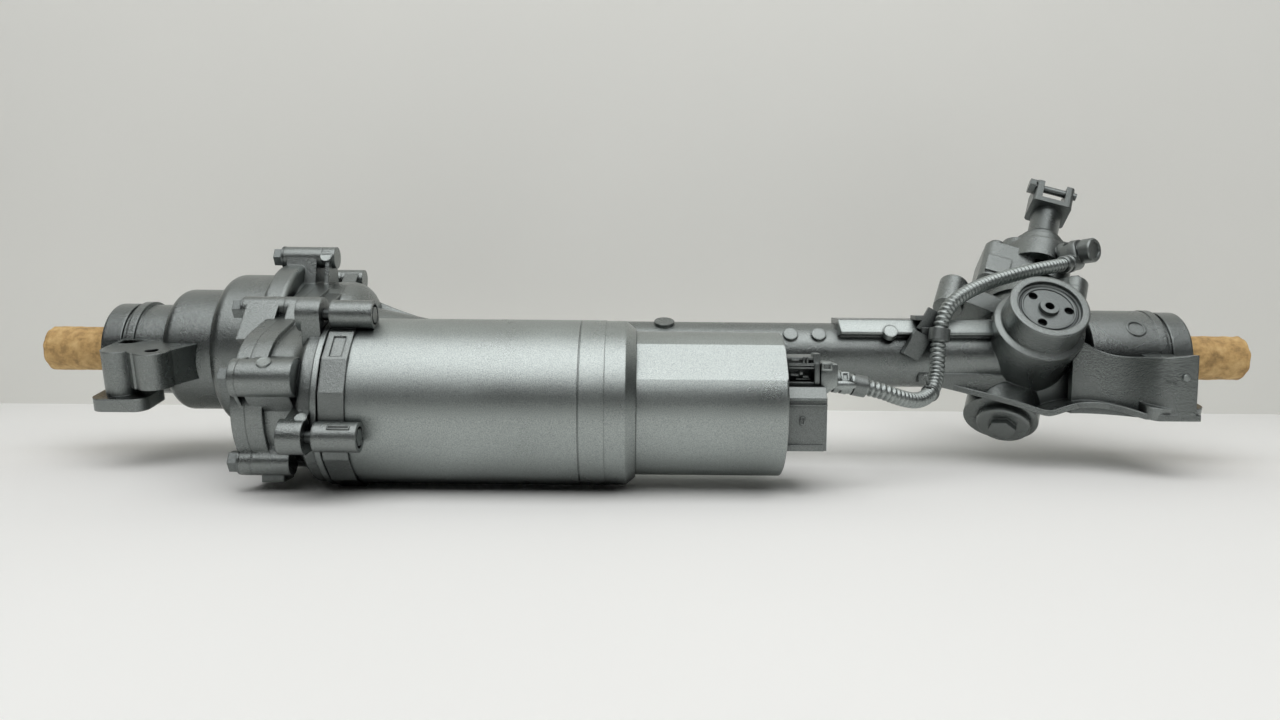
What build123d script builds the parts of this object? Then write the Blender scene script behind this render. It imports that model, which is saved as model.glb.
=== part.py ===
from build123d import *

import os
from math import acos, atan2, cos, degrees, hypot, pi, radians, sin, tan

# An electric power steering rack: housings, rack and pinion, ball nut, belt drive and motor.
# Everything is modelled about the rack axis, with X along the rack, Y to the back and Z up, from
# the middle of the rack. The finished solids are then moved to stand on their underside, with the
# origin below the middle. Lengths are in millimetres and angles in degrees.

# ---------------------------------------------------------------- driving sizes

# Running clearances: between moving pieces, and between a bore and what slides through it.
running_gap = 0.3
sliding_gap = 0.2
shaft_fit = 0.05
cast_wall = 4.5
lug_radius = 7.5
bolt_radius = 4.0
bolt_head_radius = 6.5
bolt_head_height = 7.0
spot_face_margin = 1.6

# Rack bar and the paper that wraps its two ends.
rack_radius = 14.5
rack_half_length = 418.0
rack_travel = 75.0
wrap_thickness = 1.1
wrap_length = 42.5
wrap_overhang = 3.0
wrap_mouth_radius = 9.0
tie_rod_thread_radius = 7.0
tie_rod_thread_depth = 26.0

# Housing length, tube and the two boot seats.
housing_half_length = 371.0
tube_radius = 22.5
tube_bore_radius = 18.0
ledge_start = 133.0
ledge_top = 26.0
barrel_radius = 31.4
right_barrel_radius = 33.0
barrel_bore_radius = 27.0
seat_lip_radius = 32.0
seat_lip_length = 14.0
seat_groove_radius = 30.4
seat_groove_length = 3.0
seat_band_radius = 33.4
seat_band_length = 6.0
left_barrel_depth = 40.0
right_barrel_start = 303.0
bush_length = 12.0
bush_start = -160.0

# Gear end: drums round the ball nut and the joint between the two castings.
joint_x = -228.0
small_drum_start = -326.0
small_drum_radius = 42.3
bearing_drum_start = -290.0
bearing_drum_radius = 53.0
bearing_drum_end = -256.0
flange_ring_radius = 60.5
flange_ring_width = 15.0
pulley_drum_radius = 48.5
pulley_drum_end = -194.0
funnel_start_radius = 31.0
funnel_end = -152.0
funnel_rib_width = 6.0
lug_circle_radius = 65.5

# Ball screw and its bearing.
nut_radius = 29.5
nut_start = -298.0
bearing_outer_radius = 46.0
bearing_inner_radius = 34.5
bearing_start = -286.0
bearing_width = 20.0
bearing_ball_radius = 3.4
bearing_ball_count = 16
lock_ring_width = 6.0

# Belt drive.
belt_width = 17.0
belt_thickness = 2.6
belt_side_gap = 3.0
large_pulley_teeth = 47
small_pulley_teeth = 18
belt_pitch = 5.0
belt_tooth_depth = 1.5
belt_gap = 0.1
pulley_flange_height = 2.6
pulley_flange_width = 1.5

# Motor and control unit, in front of the rack and parallel with it.
motor_y = -98.7
motor_z = -23.3
motor_radius = 50.0
motor_wall = 3.0
motor_flange_start = -184.0
motor_tube_start = -169.5
motor_step_x = -13.0
motor_step_length = 6.0
control_radius = 43.5
control_end_x = 80.0
control_wall = 2.5
control_seam_x = -25.0
belt_case_radius = 40.5
belt_rim_radius = 43.5
belt_rim_end = -218.0
cover_thickness = 8.0
belt_case_end = -189.0
pilot_radius = 33.0
motor_lug_circle = 57.0
motor_lug_angles = (68.0, -14.0, 158.0, 224.0)
motor_lug_radius = 8.5
motor_boss_radius = 10.0
motor_bolt_radius = 3.5
motor_bolt_head_radius = 5.2
motor_bolt_head_height = 3.5
motor_bolt_sink_radius = 6.2
motor_lug_rise = 10.0
motor_boss_length = 14.0
motor_band_rise = 1.0
motor_shield_thickness = 9.0
motor_bearing_radius = 15.0
pilot_depth = 7.0
stator_inner_radius = 27.0
rotor_radius = 26.4
rotor_shaft_radius = 6.0

# Yoke and its can, on the side of the rack away from the pinion.
cross_x = 267.0
yoke_rise = 40.7
yoke_radius = 17.0
yoke_can_radius = 26.2
yoke_can_top = 57.0
yoke_base_radius = 30.2
yoke_base_top = 36.5
yoke_plug_radius = 21.0
yoke_plug_thickness = 9.0
yoke_plug_recess = 2.2
yoke_key_radius = 3.0
yoke_key_circle = 13.4
yoke_key_angles = (125.0, -8.0, 240.0)
yoke_hub_radius = 6.6
liner_thickness = 1.2

# Pinion: its axis crosses behind the rack and leans along it.
pinion_lean = 21.5
pinion_teeth = 8
tooth_module = 2.0
pressure_angle = 20.0
tooth_backlash = 0.22
pinion_tip_height = 2.3
rack_tip_height = 1.05
tooth_root_gap = 0.35
pinion_face_width = 27.0
pinion_offset = 18.0
teeth_half_length = rack_travel + 13.0
lower_bearing_radius = 15.0
upper_bearing_radius = 17.5
pinion_shaft_radius = 7.0
pinion_cap_radius = 18.0
pinion_cap_hex_radius = 9.5
torsion_bar_radius = 3.0

# Tower round the pinion, the torque sensor on it and the shaft that enters it.
tower_low_radius = 22.5
tower_low_end = -46.0
tower_low_shift = -5.0
tower_drum_radius = 31.0
tower_joint = 62.0
sensor_case_top = 128.0
sensor_neck_radius = 24.5
input_shaft_radius = 9.5
dust_disc_radius = 17.0
sensor_gap_height = 58.0
fork_base = 135.0
fork_bore_radius = 8.6
fork_hub_top = 174.0
fork_top = 193.0
fork_half_width = 15.5
fork_slot_half_width = 8.8
fork_ear_front = 15.5
fork_ear_back = -9.0
pinch_bolt_offset = 11.8
pinch_bolt_radius = 3.0
sensor_bolt_radius = 3.0
sensor_flange = 9.0
sensor_lug_radius = 9.0
shaft_seal_radius = 14.0
# Lugs of the joint under the torque sensor: two places across the axis, and the foot height.
sensor_lug_places = [(30.0, 24.0, 46.0), (-40.0, -22.0, 46.0), (-30.0, 33.0, 46.0)]
# Blind boss beside the tower: place across the axis, foot and top.
tower_boss = (18.0, -58.0, 24.0, 49.0)
tower_boss_radius = 10.5

# Brackets that bolt the rack down.
bracket_x = 345.0
bracket_y = -57.0
left_bracket_top = 4.0
right_bracket_top = 1.0
bracket_tilt = 11.0
left_bracket_height = 38.0
right_bracket_height = 35.0
bracket_boss_radius = 10.5
bracket_foot = (36.0, 33.0)
bracket_foot_shift = 3.0
bracket_foot_height = 8.5
mount_bore_radius = 6.0
mount_bore_roof = 4.0
second_hole = (24.0, -4.0)
second_hole_radius = 4.25
second_hole_depth = 24.0
flange_thickness = 4.0

# Sockets on the control unit's end.
socket_y = -97.0
socket_wall = 3.0
power_socket_length = 25.0
power_socket_width = 45.0
power_socket_bottom = -48.0
power_socket_top = -11.0
sensor_socket_length = 26.0
sensor_socket_width = 24.0
sensor_socket_top = 4.7

# Cable in corrugated conduit from the control unit to the torque sensor.
conduit_radius = 5.0
conduit_clip_x = 177.0
clip_lean = 28.0
tower_plug_height = 110.0
tower_plug_length = 28.0
tower_plug_width = 16.0
tower_plug_depth = 13.0
tower_socket_radius = 8.5
plug_turn = 35.0
# The cable's course, from the control unit's plug to the torque sensor's.
cable_route = [(124, -97, -11), (141, -96, -14.2), (157, -89, -20.5), (172.5, -75, -24), (186.5, -57, -20),
               (193.5, -43, -8), (195.5, -36, 8), (198, -33, 25), (206, -26, 37), (221, -15, 45.5),
               (240, -1, 52), (260, 11, 57), (278, 19.5, 61), (295.5, 28, 64), (312, 40, 66.3)]

# ---------------------------------------------------------------- directions and axes

bottom = (Align.CENTER, Align.CENTER, Align.MIN)
rise = radians(yoke_rise)
lean = radians(pinion_lean)
yoke_way = Vector(0, -cos(rise), sin(rise))
across_way = Vector(0, sin(rise), cos(rise))
pinion_way = Vector(sin(lean), 0, 0) + across_way * cos(lean)

rack_line = Plane.YZ
motor_line = Plane((0, motor_y, motor_z), x_dir=(0, 1, 0), z_dir=(1, 0, 0))
yoke_line = Plane((cross_x, 0, 0), x_dir=(1, 0, 0), z_dir=yoke_way)
pinion_line = Plane(Vector(cross_x, 0, 0) - yoke_way * pinion_offset, x_dir=yoke_way, z_dir=pinion_way)
tilt = radians(bracket_tilt)


def bracket_plane(side):
    """The top of a bracket's boss, tilted to the front, on the left (-1) or the right (1)."""
    top = left_bracket_top if side < 0 else right_bracket_top
    return Plane((side * bracket_x, bracket_y, top), x_dir=(1, 0, 0), z_dir=(0, -sin(tilt), cos(tilt)))


belt_foot_z = motor_z - belt_rim_radius - 2.5
pinion_pitch_radius = pinion_teeth * tooth_module / 2 / cos(lean)
large_pulley_radius = large_pulley_teeth * belt_pitch / 2 / pi
small_pulley_radius = small_pulley_teeth * belt_pitch / 2 / pi
belt_start = joint_x + belt_side_gap - 1
belt_end = belt_start + belt_width
pinion_bore_radius = pinion_pitch_radius + pinion_tip_height + 0.6
belt_room_radius = pulley_drum_radius - cast_wall
belt_room_end = belt_end + 4
yoke_seat_top = yoke_can_top - yoke_plug_recess - yoke_plug_thickness

# ---------------------------------------------------------------- shape helpers


def rod(plane, radius, low, high):
    """A cylinder along a plane's normal, from one height to another."""
    return plane.offset(low) * Cylinder(radius, high - low, align=bottom)


def ring(plane, outer, inner, low, high):
    """A rod with a bore."""
    return rod(plane, outer, low, high) - rod(plane, inner, low - 1, high + 1)


def turned(plane, outline, soft=None):
    """Turns (height, radius) points about a plane's normal, with some corners rounded."""
    points = [(radius, height) for height, radius in outline]
    face = make_face(Polyline(*points, close=True))
    for index, radius in (soft or {}).items():
        spot = Vector(*points[index])
        corner = min(face.vertices(), key=lambda v: (Vector(v.X, v.Y, v.Z) - spot).length)
        face = fillet(corner, radius)
    return plane * revolve(Plane.XZ * face, Axis.Z)


def prism(plane, points, low, high):
    """A polygon given in a plane, extruded from one height to another."""
    return extrude(plane.offset(low) * make_face(Polyline(*points, close=True)), amount=high - low)


def strap(rack_size, motor_size, start, end):
    """The shape of a belt stretched round the rack axis and the motor axis."""
    spread = hypot(motor_y, motor_z)
    heading = atan2(motor_z, motor_y)
    swing = acos((rack_size - motor_size) / spread)
    corners = []
    for angle, order in ((heading + swing, 1), (heading - swing, -1)):
        way = (cos(angle), sin(angle))
        pair = [
            (rack_size * way[0], rack_size * way[1]),
            (motor_y + motor_size * way[0], motor_z + motor_size * way[1]),
        ]
        corners += pair[::order]
    sketch = make_face(Polyline(*corners, close=True)) + Circle(rack_size)
    sketch += Pos(motor_y, motor_z) * Circle(motor_size)
    return extrude(rack_line.offset(start) * sketch, amount=end - start)


def polar(radius, angle):
    """The flat coordinates of a point given by its radius and angle."""
    return radius * cos(radians(angle)), radius * sin(radians(angle))


def spot_plane(plane, x, y):
    """A plane moved sideways within itself."""
    return Plane(plane.from_local_coords(Vector(x, y, 0)), x_dir=plane.x_dir, z_dir=plane.z_dir)


def hex_bolt(plane, shank, head_radius, head_height, length):
    """A hexagon bolt whose head stands on the plane and whose shank goes down."""
    head = extrude(plane * RegularPolygon(head_radius, 6), amount=head_height)
    washer = rod(plane, head_radius + 1.2, 0, 1.4)
    return head + washer + rod(plane, shank, -length, 0.5)


# ---------------------------------------------------------------- shared places

# Lugs round the joint of the castings: angle from the top towards the back, head end, tail end.
drum_lugs = {"top": (0.0, -255.0, -219.0), "rear": (40.0, -246.0, -212.0),
             "back": (112.0, -246.0, -212.0), "under": (180.0, -250.0, -216.0)}
# Lugs round the belt case: place in Y and Z, head end, tail end and radius.
case_lugs = {"upper": (-72.0, 31.0, -254.0, -214.0, 8.0), "front": (-145.0, -5.5, -232.0, -197.0, 10.8),
             "low": (-128.0, -56.0, -235.0, -206.0, 8.0)}


def lug_places():
    """Where the bolts of the casting joint stand: Y, Z, head end, tail end and the lug's radius."""
    places = []
    for angle, head, tail in drum_lugs.values():
        y, z = polar(lug_circle_radius, 90 - angle)
        places.append((y, z, head, tail, lug_radius))
    return places + list(case_lugs.values())


def lug_web(y, z, low, high, girth):
    """A lug's wall that widens towards the axis it stands on."""
    home_y, home_z = (0, 0) if hypot(y, z) < hypot(y - motor_y, z - motor_z) + 12 else (motor_y, motor_z)
    away = Vector(y - home_y, z - home_z)
    side = Vector(-away.Y, away.X).normalized()
    foot = Vector(home_y, home_z) + away * 0.55
    tip = Vector(y, z)
    corners = [tip + side * girth, tip - side * girth, foot - side * girth * 1.9, foot + side * girth * 1.9]
    return prism(rack_line, [(c.X, c.Y) for c in corners], low, high)


# ---------------------------------------------------------------- castings


def seat_outline(barrel, depth):
    """The lip, groove and band that a boot clamps on, from the open end inwards."""
    lip_end = seat_lip_length
    groove_end = lip_end + seat_groove_length
    band_end = groove_end + seat_band_length
    return [
        (0, barrel_bore_radius), (0, seat_lip_radius), (lip_end, seat_lip_radius),
        (lip_end, seat_groove_radius), (groove_end, seat_groove_radius),
        (groove_end, seat_band_radius), (band_end, seat_band_radius), (band_end, barrel),
        (depth, barrel), (depth, barrel_bore_radius),
    ]


def boot_seat(side, barrel, depth):
    """The open end of a housing, on the left (-1) or the right (1)."""
    mouth = Plane((side * housing_half_length, 0, 0), x_dir=(0, 1, 0), z_dir=(-side, 0, 0))
    return turned(mouth, seat_outline(barrel, depth), {1: 1.5, 2: 0.6, 5: 1.2})


def casting_lugs(places, use_head):
    """The lugs of one casting: those parts on its own side of the joint."""
    shape = None
    for y, z, head, tail, girth in places:
        low, high = (head, joint_x) if use_head else (joint_x, tail)
        lug = rod(spot_plane(rack_line, y, z), girth, low, high) + lug_web(y, z, low + 3, high - 3, girth)
        shape = lug if shape is None else shape + lug
    return shape


def lug_bores(use_head):
    """Clearance holes on the head side and tapping holes on the other."""
    shape = None
    for y, z, head, tail, _ in lug_places():
        line = spot_plane(rack_line, y, z)
        low, high = (head - 1, joint_x + 1) if use_head else (joint_x - 1, tail - 4)
        bore = rod(line, bolt_radius + (sliding_gap if use_head else 0), low, high)
        if use_head:
            bore += rod(line, bolt_head_radius + spot_face_margin, head - 2 * bolt_head_height, head)
        shape = bore if shape is None else shape + bore
    return shape


def bracket_foot_block(side, height, rise):
    """The pad under a bracket's boss or, with a negative rise, the room below its machined face."""
    outline = Pos(-side * bracket_foot_shift, 0) * RectangleRounded(*bracket_foot, 8)
    return bracket_plane(side).offset(-height) * extrude(outline, amount=rise)


def left_bracket(shell):
    """The bracket at the gear end: a roofed block with a deep boss and a shallow one."""
    plane = bracket_plane(-1)
    roof = [(-10.5, 0), (-10.5, 60), (48, 60), (51, 26), (31, -9), (14, -12), (6, -4)]
    block = prism(plane, roof, -second_hole_depth, 0)
    block = fillet(block.edges().group_by(Axis.Z)[-1], 1.2)
    block += rod(plane, bracket_boss_radius, -left_bracket_height, 0)
    block += rod(spot_plane(plane, *second_hole), 11.5, -second_hole_depth, 0)
    block += bracket_foot_block(-1, left_bracket_height, bracket_foot_height)
    block -= prism(plane, [(-8, 14), (-8, 24), (7, 24), (2, 14)], -20, 1)
    block -= rod(plane, mount_bore_radius, -left_bracket_height - 1, -mount_bore_roof)
    block -= rod(spot_plane(plane, *second_hole), second_hole_radius, -second_hole_depth - 1, 10)
    block -= shell + rod(rack_line, barrel_radius, -housing_half_length, small_drum_start)
    return largest(block)


def largest(shape):
    """The main solid of a shape that a cut may have left crumbs beside."""
    return shape.solids().sort_by(SortBy.VOLUME)[-1]


def right_bracket(shell):
    """The bracket at the pinion end: a waved flange, a curved wall on it, the boss and its pad."""
    plane = bracket_plane(1)
    under = [(188, -17.5), (225, -25.5), (258, -34), (267.5, -36.5), (279, -34), (292, -31.3),
             (308, -31.8), (324, -36)]
    over = [(x, z + flange_thickness) for x, z in reversed(under)]
    end_x = 355
    end = Polyline(under[-1], (end_x, under[-1][1]), (end_x, over[0][1]), over[0])
    wave = make_face(Spline(*under) + end + Spline(*over) + Line(over[-1], under[0]))
    plan = [(188, -2), (188, -13), (212, -20), (250, -40), (268, -46), (292, -43), (308, -46),
            (322, -60), (332, -69), (end_x, -70), (end_x, -36), (end_x, -2)]
    block = extrude(Plane.XZ * wave, amount=80) & prism(Plane.XY, plan, -60, 20)
    web = Polyline(under[-1], (under[-1][0], -8), (under[0][0], -8), under[0])
    block += extrude(Plane.XZ.offset(14) * make_face(Spline(*under) + web), amount=6)
    front = [(288, -34), (300, -34.5), (312, -40), (325, -54), (334, -66), (344, -70), (352, -70)]
    back = [(352, -65), (345, -65), (337.5, -62), (328.5, -50.5), (315, -36), (301, -29), (288, -28)]
    wall = make_face(Spline(*front) + Line(front[-1], back[0]) + Spline(*back) + Line(back[-1], front[0]))
    curtain = extrude(Plane.XY.offset(-36) * wall, amount=60)
    crest = Spline((286, 17), (296, 12), (303, 7.8), (313, 4.3), (326, 3.8), (340, 5.4), (354, 6.6))
    sky = Polyline((354, 6.6), (354, 60), (286, 60), (286, 17))
    curtain -= extrude(Plane.XZ.offset(-10) * make_face(crest + sky), amount=100)
    block += curtain
    block += rod(plane, bracket_boss_radius, -right_bracket_height, 0)
    block += prism(plane, [(-10.5, 0), (-10.5, 40), (10.5, 40), (10.5, 0)], -right_bracket_height + 4, -1)
    block += bracket_foot_block(1, right_bracket_height, bracket_foot_height)
    block -= bracket_foot_block(1, right_bracket_height, -bracket_foot_height)
    block -= rod(plane, mount_bore_radius, -right_bracket_height - 1, -mount_bore_roof)
    block -= shell + rod(rack_line, right_barrel_radius, right_barrel_start, housing_half_length)
    return largest(block)


def gear_shell():
    """The outside of the left casting: boot seat, drums round the nut and belt cover."""
    ring_start = bearing_drum_end + 2
    ring_end = ring_start + flange_ring_width
    barrel_end = -housing_half_length + left_barrel_depth
    outline = [
        (barrel_end, 0), (barrel_end, barrel_radius), (small_drum_start, barrel_radius),
        (small_drum_start, small_drum_radius), (bearing_drum_start, small_drum_radius),
        (bearing_drum_start, bearing_drum_radius), (ring_start, bearing_drum_radius),
        (ring_start, flange_ring_radius), (ring_end, flange_ring_radius),
        (ring_end, pulley_drum_radius), (joint_x, pulley_drum_radius), (joint_x, 0),
    ]
    body = turned(rack_line, outline, {3: 7, 4: 2, 5: 8, 7: 3, 8: 3, 9: 1.5})
    body += strap(pulley_drum_radius, belt_rim_radius, joint_x - cover_thickness, joint_x)
    body += casting_lugs(lug_places(), True)
    return body + boot_seat(-1, barrel_radius, left_barrel_depth)


def gear_housing(shell):
    """The left casting, hollowed for the ball nut and its bearing."""
    barrel_floor = -housing_half_length + left_barrel_depth
    cavity = [
        (barrel_floor - 60, 0), (barrel_floor - 60, barrel_bore_radius), (barrel_floor, barrel_bore_radius),
        (barrel_floor, tube_bore_radius + 2), (nut_start - 4, tube_bore_radius + 2),
        (nut_start - 4, bearing_inner_radius), (bearing_start, bearing_inner_radius),
        (bearing_start, bearing_outer_radius), (joint_x + 1, bearing_outer_radius), (joint_x + 1, 0),
    ]
    return shell - turned(rack_line, cavity) - lug_bores(True)


def motor_lug_spots():
    """Where the motor's fixing lugs stand, by Y and Z from the motor's axis."""
    return [polar(motor_lug_circle, 180 - angle) for angle in motor_lug_angles]


def motor_lug_lines():
    """Planes across the motor's fixing lugs, looking along the rack."""
    return [spot_plane(motor_line, y, z) for y, z in motor_lug_spots()]


def funnel_ribs():
    """Ribs that carry the pulley drum on the tube."""
    shape = None
    for angle in (50, 90 - 40, 150, 210, 290, 350):
        low = (funnel_end + 6, tube_radius - 0.5)
        curve = Spline((pulley_drum_end - 12, 47), (pulley_drum_end + 6, 38), low)
        close = Polyline(low, (funnel_end + 6, 18.5), (pulley_drum_end - 12, 18.5),
                         (pulley_drum_end - 12, 47))
        rib = extrude(make_face(curve + close), amount=funnel_rib_width / 2, both=True)
        rib = Rot(angle, 0, 0) * rib
        shape = rib if shape is None else shape + rib
    return shape


def tower():
    """The pinion housing: low barrel, drum, joint flange with its lugs, and a blind boss beside it."""
    outline = [
        (tower_low_end, 0), (tower_low_end, tower_low_radius), (2, tower_low_radius),
        (24, tower_drum_radius + 3), (tower_joint - 10, tower_drum_radius),
        (tower_joint - 10, tower_drum_radius + 2), (tower_joint, tower_drum_radius + 2), (tower_joint, 0),
    ]
    body = turned(pinion_line, outline, {1: 2.5, 3: 6})
    for x, y, low in sensor_lug_places:
        line = spot_plane(pinion_line, x, y)
        body += rod(line, sensor_lug_radius, low, tower_joint)
        body += prism(pinion_line, web_points(x, y, sensor_lug_radius, 18), tower_joint - 12, tower_joint)
    body += rod(spot_plane(pinion_line, 0, tower_low_shift), tower_low_radius, tower_low_end, -10)
    x, y, low, high = tower_boss
    body += rod(spot_plane(pinion_line, x, y), tower_boss_radius, low, high)
    return body + prism(pinion_line, web_points(x, y, tower_boss_radius - 1, 20), low + 4, high - 5)


def web_points(x, y, tip_half, foot_half):
    """A wall in plan from an axis out to a lug."""
    away = Vector(x, y).normalized()
    side = Vector(-away.Y, away.X)
    tip = Vector(x, y)
    return [((tip + side * s * tip_half).X, (tip + side * s * tip_half).Y) for s in (1, -1)] + [
        ((side * s * foot_half).X, (side * s * foot_half).Y) for s in (-1, 1)]


def rack_shell():
    """The outside of the right casting: pulley drum, belt case, tube, pinion tower and yoke can."""
    outline = [
        (joint_x, 0), (joint_x, pulley_drum_radius), (pulley_drum_end, pulley_drum_radius),
        (pulley_drum_end, funnel_start_radius), (funnel_end, tube_radius),
        (right_barrel_start - 6, tube_radius), (right_barrel_start, right_barrel_radius),
        (housing_half_length - 60, right_barrel_radius), (housing_half_length - 60, 0),
    ]
    body = turned(rack_line, outline, {2: 14, 4: 20})
    body += strap(pulley_drum_radius, belt_rim_radius, joint_x, belt_rim_end)
    body += strap(pulley_drum_radius - 2, belt_case_radius, joint_x, pulley_drum_end - 14)
    shoulder = belt_case_end - 7
    case = [(joint_x, 0), (joint_x, belt_case_radius), (shoulder - 6, belt_case_radius),
            (shoulder, motor_radius - 1), (belt_case_end, motor_radius - 1), (belt_case_end, 0)]
    body += turned(motor_line, case, {2: 8, 3: 2})
    body += Pos(-220, -115, belt_foot_z) * Box(13, 16, 12, align=bottom)
    body += funnel_ribs()
    body += casting_lugs(lug_places(), False)
    for line, (y, z) in zip(motor_lug_lines(), motor_lug_spots()):
        body += rod(line, motor_boss_radius, belt_case_end - motor_boss_length, belt_case_end)
        web = web_points(y, z, motor_boss_radius, motor_boss_radius * 2)
        body += prism(motor_line, web, belt_case_end - motor_boss_length + 3, belt_case_end)
    body += tower()
    can = [(0, 0), (0, yoke_base_radius), (yoke_base_top, yoke_base_radius),
           (yoke_base_top + 1.5, yoke_can_radius), (yoke_can_top, yoke_can_radius), (yoke_can_top, 0)]
    body += turned(yoke_line, can, {4: 1.2})
    body += boot_seat(1, right_barrel_radius, 60)
    body += block((ledge_start, -18, 2), (112, 30, ledge_top - 2))
    for x, face_angle, radius in ((99, 40, 5), (118.5, 40, 5), (12, 70, 7)):
        way = Vector(0, -cos(radians(face_angle)), sin(radians(face_angle)))
        body += rod(Plane((x, 0, 0), x_dir=(1, 0, 0), z_dir=way), radius, 10, tube_radius + 2.2)
    way = Vector(0, -cos(radians(41)), sin(radians(41)))
    mark = Plane((334, 0, 0), x_dir=(1, 0, 0), z_dir=way)
    return body + ring(mark, 6.6, 5.2, right_barrel_radius - 3, right_barrel_radius + 0.6)


def rack_housing(shell):
    """The right casting, hollowed for the bar, the belt drive, the pinion and its yoke."""
    body = shell - turned(rack_line, [
        (joint_x - 1, 0), (joint_x - 1, belt_room_radius), (belt_room_end, belt_room_radius),
        (belt_room_end, funnel_start_radius - 6), (pulley_drum_end + 6, funnel_start_radius - 6),
        (funnel_end - 14, tube_bore_radius), (right_barrel_start, tube_bore_radius),
        (right_barrel_start + 6, barrel_bore_radius), (housing_half_length + 1, barrel_bore_radius),
        (housing_half_length + 1, 0),
    ])
    body -= strap(belt_room_radius, belt_case_radius - cast_wall, joint_x - 1, belt_room_end)
    body -= rod(motor_line, belt_case_radius - cast_wall, joint_x - 1, belt_case_end - 6)
    body -= rod(motor_line, pilot_radius, joint_x, belt_case_end + 1)
    for line in motor_lug_lines():
        body -= rod(line, motor_bolt_radius, -200, belt_case_end + 1)
    body -= lug_bores(False)
    body -= turned(pinion_line, [
        (tower_low_end - 1, 0), (tower_low_end - 1, lower_bearing_radius), (-22, lower_bearing_radius),
        (-22, pinion_bore_radius), (20, pinion_bore_radius), (20, upper_bearing_radius),
        (tower_joint + 1, upper_bearing_radius), (tower_joint + 1, 0),
    ])
    body -= rod(pinion_line, tower_low_radius + 8, tower_low_end - 30, tower_low_end)
    body -= rod(yoke_line, yoke_radius + sliding_gap / 2, 0, yoke_can_top)
    body -= rod(yoke_line, yoke_plug_radius, yoke_seat_top, yoke_can_top + 1)
    for x, y, low in sensor_lug_places:
        body -= rod(spot_plane(pinion_line, x, y), sensor_bolt_radius, low + 5, tower_joint + 1)
    return body


# ---------------------------------------------------------------- rack, pinion and yoke


def rack_comb():
    """What is cut from the round bar: the flat and the spaces between the teeth."""
    pitch = pi * tooth_module
    line = pinion_offset - pinion_pitch_radius
    crown = line + rack_tip_height
    root = line - pinion_tip_height - tooth_root_gap
    slope = tan(radians(pressure_angle))
    half = (pitch + tooth_backlash * 2) / 4
    mouth, floor = half + rack_tip_height * slope, half - (line - root) * slope
    count = int(teeth_half_length / pitch)
    outer = rack_radius + 2
    points = [(cross_x - (count + 0.5) * pitch - mouth, crown)]
    for tooth in range(-count - 1, count + 1):
        middle = cross_x + (tooth + 0.5) * pitch
        points += [(middle - mouth, crown), (middle - floor, root)]
        points += [(middle + floor, root), (middle + mouth, crown)]
    points = points[1:]
    points += [(points[-1][0], outer), (points[0][0], outer)]
    plane = Plane((0, 0, 0), x_dir=(1, 0, 0), z_dir=across_way)
    comb = make_face(Polyline(*points, close=True))
    return extrude(plane.offset(-rack_radius - 1) * comb, amount=2 * rack_radius + 2)


def rack_bar():
    """The round bar with its teeth and a threaded bore in each end for a tie rod."""
    bar = rod(rack_line, rack_radius, -rack_half_length, rack_half_length)
    bar = chamfer(bar.edges().filter_by(GeomType.CIRCLE), 1.5)
    bar -= rack_comb()
    for side in (-1, 1):
        end = Plane((side * rack_half_length, 0, 0), x_dir=(0, 1, 0), z_dir=(side, 0, 0))
        bar -= rod(end, tie_rod_thread_radius, -tie_rod_thread_depth, 1)
    return bar


def end_wrap(side):
    """Paper wound round an end of the bar and folded over it, open in the middle."""
    end = Plane((side * rack_half_length, 0, 0), x_dir=(0, 1, 0), z_dir=(side, 0, 0))
    outer = rack_radius + wrap_thickness
    outline = [
        (wrap_overhang - wrap_length, rack_radius), (wrap_overhang - wrap_length, outer),
        (wrap_overhang, outer), (wrap_overhang, wrap_mouth_radius), (0, wrap_mouth_radius),
        (0, rack_radius - 1.5), (-1.5, rack_radius),
    ]
    return turned(end, outline, {2: 2.6})


def pinion_tooth_points():
    """The pinion's outline across its axis: straight runs along each tooth's flanks."""
    angle = atan2(tan(radians(pressure_angle)), cos(lean))
    base = pinion_pitch_radius * cos(angle)
    tip = pinion_pitch_radius + pinion_tip_height
    root = pinion_pitch_radius - rack_tip_height - tooth_root_gap

    def half_width(radius):
        """Half a tooth's angle at a radius, from the involute of the base circle."""
        here = acos(min(1, base / radius))
        return pi / 2 / pinion_teeth + (tan(angle) - angle) - (tan(here) - here)

    radii = [root, base + 0.15, (base + tip) / 2 + 0.1, tip]
    points = []
    for tooth in range(pinion_teeth):
        middle = (tooth + 0.5) * 2 * pi / pinion_teeth
        for radius in radii:
            points.append((radius, middle - half_width(max(radius, base))))
        for radius in reversed(radii):
            points.append((radius, middle + half_width(max(radius, base))))
    return [(radius * cos(turn), radius * sin(turn)) for radius, turn in points]


def pinion():
    """The helical pinion with its journals and the sleeve that holds the torsion bar."""
    twist = -degrees(pinion_face_width * tan(lean) / pinion_pitch_radius)
    section = Rot(0, 0, -twist / 2) * make_face(Polyline(*pinion_tooth_points(), close=True))
    start = (0, 0, -pinion_face_width / 2)
    gear = Solid.extrude_linear_with_rotation(
        (Pos(*start) * section).face(), center=start, normal=(0, 0, pinion_face_width), angle=twist)
    body = pinion_line * gear
    half = pinion_face_width / 2
    outline = [
        (tower_low_end + 8, 0), (tower_low_end + 8, pinion_shaft_radius - 1),
        (-half, pinion_shaft_radius - 1), (half, pinion_shaft_radius - 1),
        (half, pinion_shaft_radius + 0.5), (35, pinion_shaft_radius + 0.5),
        (35, 11), (sensor_gap_height, 11), (sensor_gap_height, 0),
    ]
    body += turned(pinion_line, outline)
    body -= rod(pinion_line, torsion_bar_radius, 10, sensor_gap_height + 1)
    return body


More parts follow.
